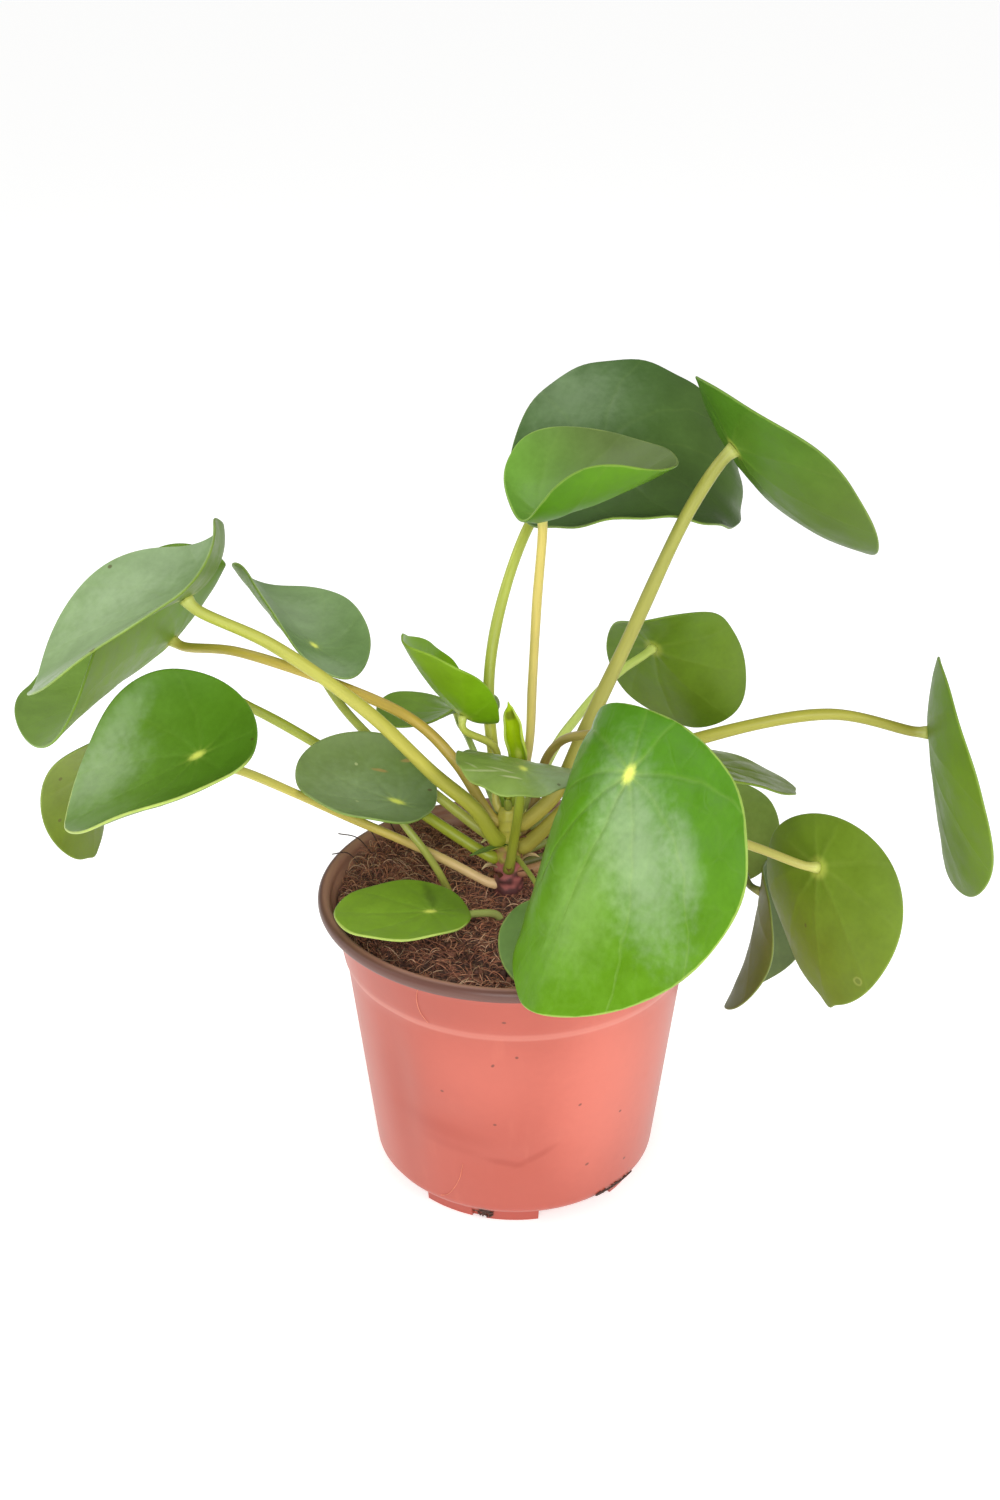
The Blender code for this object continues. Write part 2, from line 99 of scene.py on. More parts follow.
# %% Studio
WORLD_LIGHT = 0.62
MIRRORED_WORLD = 0.16
LAMPS = (("front lamp", (560, -640, 620), 560, 2.6), ("fill lamp", (-40, -760, 430), 420, 2.8),
         ("left panel", (-900, 60, 560), 760, 3.0),
         ("high lamp", (-160, 300, 950), 500, 1.2))         # name, place, width and watts
LAMP_TARGET = (0, 0, 120)
FLOOR_RADIUS = 14000
FLOOR_TONE = (0.9, 0.9, 0.895, 1.0)
FLOOR_GLOW = 0.5

world = bpy.data.worlds.new("studio")
world.use_nodes = True
sky = world.node_tree.nodes["Background"]
sky.inputs["Color"].default_value = (1.0, 1.0, 1.0, 1.0)
path = world.node_tree.nodes.new("ShaderNodeLightPath")
dimmed = world.node_tree.nodes.new("ShaderNodeMapRange")
dimmed.inputs["To Min"].default_value = WORLD_LIGHT
dimmed.inputs["To Max"].default_value = MIRRORED_WORLD
world.node_tree.links.new(path.outputs["Is Glossy Ray"], dimmed.inputs["Value"])
world.node_tree.links.new(dimmed.outputs["Result"], sky.inputs["Strength"])
scene.world = world
scene.view_settings.view_transform = "Standard"

for name, spot, width, watts in LAMPS:
    lamp = bpy.data.lights.new(name, "AREA")
    lamp.shape = "DISK"
    lamp.size = width * MM
    lamp.energy = watts
    holder = bpy.data.objects.new(name, lamp)
    holder.location = Vector(spot) * MM
    aim = Vector(LAMP_TARGET) - Vector(spot)
    holder.rotation_euler = aim.to_track_quat("-Z", "Y").to_euler()
    scene.collection.objects.link(holder)

disc = bmesh.new()
bmesh.ops.create_circle(disc, cap_ends=True, segments=96, radius=FLOOR_RADIUS * MM)
floor_mesh = bpy.data.meshes.new("floor")
disc.to_mesh(floor_mesh)
disc.free()
floor = bpy.data.objects.new("floor", floor_mesh)
scene.collection.objects.link(floor)
paper = bpy.data.materials.new("pale paper")
paper.use_nodes = True
surface = paper.node_tree.nodes["Principled BSDF"].inputs
surface["Base Color"].default_value = FLOOR_TONE
surface["Roughness"].default_value = 0.9
surface["Emission Color"].default_value = FLOOR_TONE
surface["Emission Strength"].default_value = FLOOR_GLOW
floor_mesh.materials.append(paper)
print("lamps:", len(LAMPS))

# %% [markdown]
# ## Tools for meshes
# Leaves, stalks, pot and soil are all the same kind of form: rings of points in a row, closed
# by one point at each end. One helper makes the faces of such a form, one moves them on to
# later points, so that many forms share a mesh, and one turns points into a piece that rides
# on the frame. Two more store what a material has to know at each point: a flat map, as a
# pattern cutter would lay a leaf out, and a painted tone.

# %% Mesh helpers
def ring_faces(rings, spokes):
    """Faces of a closed form whose points are a start point, the rings and an end point."""
    faces = []
    end = 1 + rings * spokes
    for k in range(spokes):
        nxt = (k + 1) % spokes
        faces.append((0, 1 + k, 1 + nxt))
        for row in range(1, 1 + (rings - 1) * spokes, spokes):
            faces.append((row + k, row + spokes + k, row + spokes + nxt, row + nxt))
        faces.append((end - spokes + k, end, end - spokes + nxt))
    return faces


def shifted(faces, start):
    """The same faces, for points whose numbers begin at start."""
    return [tuple(start + corner for corner in face) for face in faces]


def facing(heading):
    """The level direction of a heading in degrees."""
    return cos(radians(heading)), sin(radians(heading)), 0.0


def add_piece(name, points, faces, finishes, node=None):
    """A smooth mesh from points in millimetres, which rides on the frame."""
    mesh = bpy.data.meshes.new(name)
    mesh.from_pydata((np.asarray(points, float) * MM).tolist(), [], faces)
    for finish in finishes:
        mesh.materials.append(finish)
    mesh.shade_smooth()
    piece = bpy.data.objects.new(name, mesh)
    scene.collection.objects.link(piece)
    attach(piece, "root")
    if node:
        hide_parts(node)
    return piece


def lay_flat(piece, spots):
    """Store a flat map: one pair of numbers for each point."""
    mesh = piece.data
    corner = np.zeros(len(mesh.loops), int)
    mesh.loops.foreach_get("vertex_index", corner)
    layer = mesh.uv_layers.new(name="flat")
    layer.data.foreach_set("uv", np.asarray(spots, np.float32)[corner].ravel())


def paint(piece, layer_name, values):
    """Store three numbers for each point, as a colour."""
    layer = piece.data.color_attributes.new(layer_name, "FLOAT_COLOR", "POINT")
    colour = np.ones((len(piece.data.vertices), 4), np.float32)
    colour[:, :3] = values
    layer.data.foreach_set("color", colour.ravel())


print("a closed form of 3 rings of 8 has", len(ring_faces(3, 8)), "faces")

# %% [markdown]
# ## Tools for materials
# A material in Blender is a tree of small nodes. Written out one by one they fill pages, so a
# short helper adds a node and joins it in one line. A value may be a number, a colour or the
# output of another node. Tones are read off like paint chips, from 0 to 255, and turned into
# the linear values that a shader mixes with.

# %% Material helpers
class Wiring:
    """Adds nodes to one tree and joins them."""

    def __init__(self, tree):
        self.tree = tree

    def feed(self, socket, value):
        if isinstance(value, bpy.types.NodeSocket):
            self.tree.links.new(value, socket)
        else:
            socket.default_value = value

    def add(self, kind, values, output=0, **settings):
        node = self.tree.nodes.new("ShaderNode" + kind)
        for name, setting in settings.items():
            setattr(node, name, setting)
        pairs = values.items() if isinstance(values, dict) else enumerate(values)
        for key, value in pairs:
            self.feed(node.inputs[key], value)
        return node.outputs[output]

    def math(self, operation, *values):
        return self.add("Math", values, operation=operation)

    def plus(self, first, second):
        return self.math("ADD", first, second)

    def less(self, first, second):
        return self.math("SUBTRACT", first, second)

    def times(self, first, second):
        return self.math("MULTIPLY", first, second)

    def over(self, first, second):
        """A quotient, worked out at once where both are numbers."""
        if isinstance(first, (int, float)) and isinstance(second, (int, float)):
            return first / second
        return self.math("DIVIDE", first, second)

    def vector(self, operation, *values):
        output = 1 if operation in ("DOT_PRODUCT", "LENGTH", "DISTANCE") else 0
        return self.add("VectorMath", values, output, operation=operation)

    def scale(self, place, by):
        return self.add("VectorMath", {0: place, "Scale": by}, operation="SCALE")

    def join(self, x, y, z=0.0):
        return self.add("CombineXYZ", (x, y, z))

    def split(self, place):
        return self.add("SeparateXYZ", (place,)).node.outputs

    def fade(self, value, start, stop, first=0.0, last=1.0):
        """Goes smoothly from first to last while value goes from start to stop."""
        return self.add("MapRange", (value, start, stop, first, last),
                        interpolation_type="SMOOTHSTEP")

    def mix(self, share, first, second):
        return self.add("Mix", {0: share, 6: first, 7: second}, 2, data_type="RGBA")

    def tint(self, colour, mask, strength, chip):
        """Lay a paint chip over a colour where a mask shows it."""
        return self.mix(self.times(mask, strength), colour, tone(*chip))

    def noise(self, place, size, detail=2.0, output=0):
        """Cloudy noise whose lumps are about size across, in the unit of place."""
        return self.add("TexNoise", {"Vector": place, "Scale": self.over(1.0, size),
                                     "Detail": detail}, output)

    def cells(self, place, size, feature="F1"):
        """How far a place is from the middle of its cell, or from its edge."""
        return self.add("TexVoronoi", {"Vector": place, "Scale": self.over(1.0, size)},
                        "Distance", feature=feature)

    def use(self, effect, **values):
        """Place a node group, with its inputs by name, and give its outputs."""
        node = self.tree.nodes.new("ShaderNodeGroup")
        node.node_tree = effect
        for label, value in values.items():
            self.feed(node.inputs[label.replace("_", " ")], value)
        return node.outputs

    def place(self):
        """The place on the object, in millimetres."""
        return self.scale(self.add("TexCoord", (), "Object"), 1 / MM)

    def flat_map(self):
        return self.add("UVMap", (), uv_map="flat")

    def painted(self, layer_name):
        return self.add("Attribute", (), attribute_name=layer_name)

    def bump(self, shader, height, strength, depth):
        """Let a height, counted in depths of so many millimetres, tilt the shading."""
        tilted = self.add("Bump", {"Strength": strength, "Distance": depth * MM, "Height": height})
        self.feed(shader["Normal"], tilted)


def tone(red, green, blue):
    """A paint chip of 0 to 255 as a shader colour."""
    linear = [((c / 255 + 0.055) / 1.055) ** 2.4 if c > 10 else c / 3295 for c in (red, green, blue)]
    return (*linear, 1.0)


def tone_rows(chips):
    """Paint chips as rows of three values, to paint points with."""
    return np.array([tone(*chip)[:3] for chip in chips])


def start_effect(name, inputs, outputs):
    """An empty node group. A tuple makes a vector input, and every output is a plain number."""
    tree = bpy.data.node_groups.new(name, "ShaderNodeTree")
    for label, value in inputs.items():
        kind = "NodeSocketVector" if isinstance(value, tuple) else "NodeSocketFloat"
        socket = tree.interface.new_socket(label, in_out="INPUT", socket_type=kind)
        socket.default_value = value
    for label in outputs:
        tree.interface.new_socket(label, in_out="OUTPUT", socket_type="NodeSocketFloat")
    given = tree.nodes.new("NodeGroupInput").outputs
    result = tree.nodes.new("NodeGroupOutput").inputs
    return Wiring(tree), given, result


def start_finish(name, roughness):
    """A new material: its wiring and its shader."""
    mat = bpy.data.materials.new(name)
    mat.use_nodes = True
    shader = mat.node_tree.nodes["Principled BSDF"]
    shader.inputs["Roughness"].default_value = roughness
    return mat, Wiring(mat.node_tree), shader.inputs


print("mid grey paint is", round(tone(128, 128, 128)[0], 3))

# %% [markdown]
# ## Shared surface effects
# Nothing that grows or is handled has one even tone. Three effects come back in the
# materials below. Mottle varies the tone in large clouds and small grains. Specks are the
# few dark dots that soil and age leave. A patch is one soft oval at a chosen place, for a
# scar, a scratch, or painted light and shade such as a painted highlight of sheen. Each is a
# node group, built once and used with its own values, so a change to the group reaches every
# finish.

# %% Mottle, specks and patches
ORIGIN = (0.0, 0.0, 0.0)

mottle, given, result = start_effect(
    "mottle", {"Place": ORIGIN, "Cloud": 14.0, "Grain": 1.2, "Depth": 0.15}, ("Tone", "Height"))
cloud = mottle.noise(given["Place"], given["Cloud"])
grain = mottle.noise(given["Place"], given["Grain"], 3.0)
both = mottle.plus(mottle.times(cloud, 1.3), mottle.times(grain, 0.7))
swing = mottle.times(mottle.less(both, 1.0), given["Depth"])
mottle.feed(result["Tone"], mottle.plus(mottle.times(swing, 2.0), 1.0))
mottle.feed(result["Height"], both)

specks, given, result = start_effect(
    "specks", {"Place": ORIGIN, "Apart": 9.0, "Radius": 0.4, "Share": 0.4}, ("Mask",))
dots = specks.cells(given["Place"], given["Apart"])
inside_dot = specks.math("LESS_THAN", dots, specks.over(given["Radius"], given["Apart"]))
pick = specks.split(dots.node.outputs["Color"])[0]
chosen = specks.math("LESS_THAN", pick, given["Share"])
specks.feed(result["Mask"], specks.times(inside_dot, chosen))

patch, given, result = start_effect(
    "patch", {"Place": ORIGIN, "Middle": ORIGIN, "Turn": 0.0, "Size": (4.0, 4.0, 1.0),
              "Softness": 0.5, "Ragged": 1.0}, ("Mask",))
turned = patch.add("VectorRotate", {
    "Vector": patch.vector("SUBTRACT", given["Place"], given["Middle"]),
    "Angle": patch.times(given["Turn"], -1.0)}, rotation_type="Z_AXIS")
away = patch.vector("LENGTH", patch.vector("DIVIDE", turned, given["Size"]))
torn = patch.less(patch.noise(given["Place"], 3.0), 0.5)
torn = patch.plus(away, patch.times(torn, given["Ragged"]))
patch.feed(result["Mask"], patch.fade(torn, patch.less(1.0, given["Softness"]),
                                      patch.plus(1.05, given["Softness"]), 1.0, 0.0))
MOTTLE, SPECKS, PATCH = mottle.tree, specks.tree, patch.tree


def add_patches(w, place, colour, patches, ragged=1.0):
    """Lay soft ovals over a colour. Each has a place, length, width, heading, softness,
    strength and paint chip."""
    for x, y, long, wide, heading, softness, strength, chip in patches:
        mask = w.use(PATCH, Place=place, Middle=(x, y, 0.0), Turn=radians(heading),
                     Size=(long / 2, wide / 2, 1.0), Softness=softness, Ragged=ragged)["Mask"]
        colour = w.tint(colour, mask, strength, chip)
    return colour


print("effects:", MOTTLE.name, SPECKS.name, PATCH.name)

# %% [markdown]
# ## Leaf veins
# A pilea leaf hangs from its stalk like a parasol: the stalk meets the underside, well in
# from the edge, and the veins radiate from that joint. One runs straight to the tip, and the
# others leave to both sides and arch forward. Between them lies a wide net. The veins could
# be modelled one by one, but as a rule on the flat leaf they cost nothing, fit every leaf, and
# the same numbers can sink them into the mesh. Each vein is an arc of a circle through the
# joint, and folding the flat map along the middle makes both halves from one set.

# %% Leaf veins
VEINS = ((0, 4000.0), (38, 110.0), (80, 47.0), (118, 55.0), (165, 160.0))     # heading, radius
VEIN_LENGTH = 60.0
NET_SIZE = 10.0           # width of a mesh of the net

veins, given, result = start_effect("leaf veins", {"Place": ORIGIN, "Width": 0.5}, ("Main", "Net"))
wander = veins.vector("SUBTRACT", veins.noise(given["Place"], 9.0, 1.0, 1), (0.5, 0.5, 0.5))
shaky = veins.split(veins.vector("ADD", given["Place"], veins.scale(wander, 2.4)))
folded = veins.join(shaky[0], veins.math("ABSOLUTE", shaky[1]))
main = 0.0
for heading, radius in VEINS:
    out = facing(heading)
    along = veins.vector("DOT_PRODUCT", folded, out)
    middle = (out[1] * radius, -out[0] * radius, 0.0)
    gap = veins.math("ABSOLUTE", veins.less(veins.vector("DISTANCE", folded, middle), radius))
    width = veins.times(veins.fade(along, 0.0, VEIN_LENGTH, 1.6, 0.5), given["Width"])
    line = veins.math("MAXIMUM", veins.less(1.0, veins.over(gap, width)), 0.0)
    line = veins.times(line, veins.math("GREATER_THAN", along, 0.0))
    main = veins.math("MAXIMUM", main, line)
veins.feed(result["Main"], main)
mesh_line = veins.cells(veins.vector("ADD", folded, veins.scale(wander, 3.0)), NET_SIZE,
                        "DISTANCE_TO_EDGE")
veins.feed(result["Net"], veins.fade(mesh_line, 0.0, 0.09, 1.0, 0.0))
LEAF_VEINS = veins.tree


def vein_closeness(u, v, width):
    """How near a spot on the flat leaf lies to a main vein: 1 on it, 0 well away."""
    near = np.zeros_like(u)
    for heading, radius in VEINS:
        out_u, out_v, _ = facing(heading)
        off = np.hypot(u - out_v * radius, abs(v) + out_u * radius) - radius
        along = u * out_u + abs(v) * out_v
        near = np.maximum(near, np.exp(-(off / width) ** 2) * (along > 0))
    return near


print("main veins on each side of the leaf:", len(VEINS))

# %% [markdown]
# ## Leaf markings
# Where the stalk joins, the upper side shows a small pale star, longer towards the tip than
# across, with short rays along the veins. The rim of the leaf is thinner than the rest and
# lets light through, so it reads as a fine pale line, on many leaves on one side only. Both
# are masks made from distances: from the joint on the flat map, and from the rim, which the
# mesh stores at each point.

# %% Leaf markings
marks, given, result = start_effect(
    "leaf markings", {"Place": ORIGIN, "Rim distance": 5.0, "Veins": 0.0, "Star": 1.8, "Rim": 0.8,
                      "Side": (1.0, 0.0, 0.0), "Spread": -2.0}, ("Star", "Rays", "Rim"))
away = marks.vector("LENGTH", marks.vector("MULTIPLY", given["Place"], (0.75, 1.25, 1.0)))
uneven = marks.plus(away, marks.less(marks.noise(given["Place"], 0.9), 0.5))
marks.feed(result["Star"], marks.fade(uneven, marks.times(given["Star"], 0.25),
                                      marks.times(given["Star"], 1.45), 1.0, 0.0))
rays = marks.fade(away, given["Star"], marks.times(given["Star"], 3.0), 1.0, 0.0)
marks.feed(result["Rays"], marks.times(given["Veins"], rays))
unsteady = marks.fade(marks.noise(given["Place"], 7.0), 0.35, 0.65, 0.6, 1.4)
rim_width = marks.times(given["Rim"], unsteady)
on_side = marks.vector("DOT_PRODUCT", marks.vector("NORMALIZE", given["Place"]), given["Side"])
on_side = marks.fade(on_side, given["Spread"], marks.plus(given["Spread"], 0.3))
pale_rim = marks.fade(given["Rim distance"], marks.times(rim_width, 0.4), rim_width, 1.0, 0.0)
marks.feed(result["Rim"], marks.times(on_side, pale_rim))
LEAF_MARKS = marks.tree
print("markings:", [socket.name for socket in result if socket.name])

# %% [markdown]
# ## How each leaf looks
# The leaves differ with age and light: young ones are bright and glossy, old ones dark, and a
# side turned from the light is yellower. A table keeps these choices in one place. Most of the
# tones were matched by measuring small spots of the photograph and of renders, so besides each
# leaf's own colour they hold painted light and shade: the grey-green of older upper sides is
# painted sheen, and leaves and stalk roots that lie in shade are painted lighter. Each side has
# a tone near the joint and one towards the rim at the tip. The pale rim has a strength, a
# width, the heading of its middle and how far it spreads from there. The marks are patches:
# painted highlights of sheen, darker washes, painted shadow on the top leaf, old scars,
# scratches and dots. They are given on the flat leaf, in millimetres from the joint towards
# the tip and the left.

# %% Looks
@dataclass
class Look:
    """Tones of one leaf and its stalk, as paint chips, and what marks it."""
    upper: tuple                      # chips near the joint and at the tip
    under: tuple
    stalk: tuple                      # chips at the root, a third of the way up and at the blade
    rim: tuple = (0.16, 0.4, 0, 180)  # strength, width, heading and spread
    point: float = 0.0                # how far the tip is drawn out
    wave: tuple = (0.25, 7, 0.0)      # height of the rim's waves, their number and shift
    star: tuple = (1.5, 0.8)          # size and strength
    veins: float = 1.0
    marks: tuple = ()                 # patches of the upper side
    under_marks: tuple = ()


# The sheen chip is the tone of a painted highlight, where light glances off the wax.
SHEEN_HIGHLIGHT, SCAR, PALE_DOT = (166, 186, 150), (84, 74, 40), (196, 204, 150)
SCRATCH = (172, 142, 84)
DARK_UPPER = ((88, 128, 36), (84, 118, 40))
PALE_UNDER = ((106, 140, 44), (110, 140, 50))


def wash(x, y, long, wide, strength, chip=SHEEN_HIGHLIGHT, heading=0, softness=0.8):
    """A wide soft patch, by default a painted highlight of sheen."""
    return x, y, long, wide, heading, softness, strength, chip


def fleck(x, y, long, wide, strength, chip=SCAR, heading=0, softness=0.3):
    """A small clear patch, by default a scar."""
    return x, y, long, wide, heading, softness, strength, chip


# A wash in the sheen chip is a painted highlight; a darker wash darkens the leaf there.
LOOKS = {
    "left_high_front": Look(
        ((120, 148, 94), (130, 158, 102)), ((100, 130, 36), (112, 140, 44)),
        ((166, 174, 52), (188, 180, 76), (176, 182, 70)), star=(1.6, 0.9),
        marks=(wash(8, -30, 44, 20, 0.4, heading=12), wash(24, -10, 40, 34, 0.3),
               wash(-20, 8, 20, 30, 0.35), wash(2, 24, 40, 14, 0.2, (86, 112, 48)),
               fleck(17, -36, 1.3, 1.0, 0.7), fleck(25, 36, 1.6, 1.0, 0.7))),
    "left_high_rear": Look(
        ((118, 154, 58), (114, 146, 60)), ((104, 142, 38), (116, 148, 44)),
        ((178, 160, 76), (198, 168, 68), (184, 172, 72)), rim=(0.0, 0.5, 0, 180),
        wave=(0.0, 7, 0.0)),
    "left_rear": Look(
        ((114, 146, 84), (122, 150, 96)), PALE_UNDER,
        ((170, 172, 80), (178, 186, 74), (150, 160, 74)), star=(1.5, 1.0),
        marks=(wash(19, -3, 30, 20, 0.35), wash(-16, 3, 14, 16, 0.45),
               wash(10, 21, 26, 10, 0.4), wash(2, -12, 30, 12, 0.3, (92, 124, 58)))),
    "left_middle": Look(
        ((88, 134, 30), (102, 140, 46)), PALE_UNDER,
        ((246, 208, 156), (210, 188, 92), (176, 178, 84)), rim=(0.8, 0.55, 50, 65),
        star=(1.9, 1.0),
        marks=(wash(29, -12, 26, 18, 0.4, heading=20), wash(34, 8, 20, 14, 0.2),
               wash(17, -24, 24, 8, 0.35, heading=20), wash(-4, 20, 36, 12, 0.3, (74, 112, 30)),
               fleck(-17, 10, 1.6, 0.8, 0.7, heading=120, softness=0.2))),
    "left_low": Look(
        DARK_UPPER, ((120, 138, 60), (104, 126, 34)),
        ((162, 174, 48), (166, 176, 54), (150, 160, 60)), point=1.5,
        under_marks=(fleck(3, 18, 1.4, 1.2, 0.6), fleck(19, 16, 1.2, 1.2, 0.6))),
    "centre_left": Look(
        ((102, 128, 64), (116, 138, 80)), PALE_UNDER,
        ((174, 180, 84), (172, 178, 80), (160, 170, 76)), star=(2.0, 1.0),
        marks=(wash(6, 6, 34, 26, 0.35, heading=30),
               fleck(9.8, -10.4, 5, 1.1, 0.7, SCRATCH, 20, 0.4),
               fleck(3.3, -18.5, 5, 1.1, 0.7, SCRATCH, 30, 0.4),
               fleck(-7.3, -10.3, 1.5, 1.2, 0.8),
               fleck(10, 9, 1.1, 1.0, 0.6, PALE_DOT), fleck(17, -8, 1.0, 1.0, 0.6, PALE_DOT))),
    "soil_left": Look(
        ((120, 158, 40), (126, 162, 46)), PALE_UNDER,
        ((196, 206, 120), (186, 200, 112), (168, 186, 92)), rim=(0.7, 0.6, 72, 62),
        star=(1.4, 0.9),
        marks=(wash(0.0, -9, 12, 2.6, 0.5, (64, 76, 30), 100),
               wash(-5, -7, 14, 14, 0.4, (78, 104, 34), softness=0.9))),
    "soil_front": Look(
        ((96, 128, 60), (102, 132, 68)), PALE_UNDER,
        ((170, 180, 80), (172, 184, 84), (160, 176, 80)), rim=(0.3, 0.6, 0, 180)),
    "front": Look(
        ((74, 130, 2), (88, 136, 6)), ((108, 152, 40), (116, 156, 48)),
        ((160, 132, 84), (168, 146, 74), (176, 170, 84)), rim=(0.45, 0.5, 0, 180),
        wave=(0.5, 9, 1.0), star=(2.1, 1.0), veins=3.4,
        # All three washes are painted highlights of sheen.
        marks=(wash(16, 12, 44, 18, 0.52, heading=45), wash(13, 27, 20, 8, 0.36, heading=40),
               wash(34, 4, 34, 18, 0.3, (156, 190, 110), 10))),
    "centre": Look(
        ((134, 160, 76), (140, 164, 86)), PALE_UNDER,
        ((156, 160, 62), (154, 163, 48), (150, 166, 54)), wave=(0.6, 11, 0.4),
        marks=(fleck(-1, 12, 9, 0.9, 0.8, PALE_DOT, 80, 0.4),
               fleck(-1, 7, 7, 0.8, 0.8, PALE_DOT, 60, 0.4),
               fleck(-5, 5, 6, 0.8, 0.8, PALE_DOT, 70, 0.4),
               fleck(2.7, 15, 5, 0.9, 0.8, PALE_DOT, 30, 0.4),
               wash(4, 14, 22, 18, 0.4, (116, 140, 60)), wash(-8, -12, 26, 18, 0.75),
               fleck(-10, -8, 1.4, 1.0, 0.6))),
    "young_left": Look(
        ((98, 148, 8), (118, 160, 14)), ((114, 160, 12), (114, 150, 14)),
        ((200, 188, 96), (206, 200, 96), (184, 194, 80)), point=1.2),
    "rear_left": Look(
        ((112, 148, 42), (116, 150, 48)), PALE_UNDER,
        ((150, 168, 84), (160, 180, 90), (150, 172, 80))),
    "furled": Look(
        ((160, 190, 12), (166, 194, 16)), ((198, 220, 10), (196, 218, 14)),
        ((178, 182, 56), (170, 182, 50), (160, 180, 40)), rim=(0.6, 0.5, 0, 180), point=1.5,
        marks=(fleck(13, 0, 3, 4, 0.6, (70, 60, 24), softness=0.4),),
        under_marks=(fleck(4, 1.5, 12, 1.4, 0.6, (216, 216, 60), softness=0.5),
                     fleck(13, 0, 3, 4, 0.6, (70, 60, 24), softness=0.4))),
    "top": Look(
        ((68, 98, 46), (76, 104, 40)), PALE_UNDER,
        ((212, 206, 88), (176, 186, 72), (180, 190, 78)), wave=(0.45, 13, 0.0),
        # The two sheen washes are painted highlights, and the two darker washes painted shadow.
        marks=(wash(-20, 9, 24, 26, 0.16), wash(-10, 16, 26, 24, 0.1),
               wash(16, 31, 34, 14, 0.15, (56, 80, 34)), wash(32, 16, 24, 34, 0.3, (60, 84, 36)))),
    "top_cup": Look(
        ((108, 158, 52), (96, 116, 60)), ((70, 118, 2), (84, 130, 10)),
        ((222, 212, 136), (212, 194, 112), (204, 186, 92)), rim=(0.2, 0.5, 0, 180)),
    "top_right": Look(
        DARK_UPPER, ((72, 118, 18), (88, 114, 40)),
        ((184, 170, 74), (166, 162, 76), (156, 158, 66))),
    "right_rear": Look(
        DARK_UPPER, ((98, 130, 28), (104, 132, 32)),
        ((168, 180, 92), (198, 214, 112), (186, 204, 100))),
    "far_right": Look(
        DARK_UPPER, ((98, 132, 26), (102, 132, 30)),
        ((176, 166, 72), (178, 174, 66), (160, 156, 54))),
    "right_low": Look(
        DARK_UPPER, ((102, 128, 28), (106, 128, 32)),
        ((196, 140, 110), (192, 178, 94), (184, 178, 90)), point=2.2,
        under_marks=(fleck(31, -15, 2.8, 2.8, 0.6, (150, 160, 76), softness=0.2),
                     fleck(31, -15, 1.6, 1.6, 0.8, (98, 116, 40), softness=0.2),
                     fleck(18.7, 4.7, 1.3, 1.0, 0.6))),
    "right_folded": Look(
        ((82, 100, 54), (88, 104, 58)), ((108, 120, 52), (96, 108, 48)),
        ((120, 120, 66), (112, 116, 60), (104, 112, 58))),
    "right_shaded": Look(
        ((134, 158, 76), (138, 160, 80)), PALE_UNDER,
        ((150, 158, 80), (140, 154, 74), (130, 148, 68)),
        marks=(fleck(10, 4, 1.2, 1.0, 0.6, PALE_DOT), fleck(3, -7, 1.0, 1.0, 0.6, PALE_DOT))),
    "right_level": Look(
        ((124, 150, 32), (112, 134, 28)), PALE_UNDER,
        ((150, 160, 80), (146, 158, 76), (140, 154, 72)), point=1.5),
}
print("leaves:", len(LOOKS))

# %% [markdown]
# ## Leaf finish
# The leaf is one material for both sides and the rim, because the real one is a single
# fleshy body. The mesh says at each point which side it is on. The upper side gets its
# patches, the star and faint sunken veins, the underside raised pale veins and a pale patch
# around its stalk. A waxy leaf is smooth but not a mirror, so fine grain breaks up its
# reflections. The veins of these leaves hardly show, apart from those of the big front leaf.

# %% Leaf finish
FLAT_SIZE = 200.0         # millimetres that the flat map spans
FACT_UNIT = 10.0          # millimetres in one unit of the painted rim distance
RIM_SOFTNESS = 0.3        # how slowly the pale rim ends along the leaf's edge
NET_TINT, VEIN_TINT, RAY_TINT = 0.006, 0.03, 0.16     # strengths, per unit of veins or star
VEIN_FURROW, NET_FURROW = 0.17, 0.06                  # depths on the upper side, per unit of veins
VEIN_RIDGE, NET_RIDGE, SKIN_GRAIN = 0.2, 0.06, 0.16   # heights on the underside and of the skin
UNDER_VEIN_CHIP, UNDER_JOINT_CHIP = (158, 174, 80), (178, 188, 80)


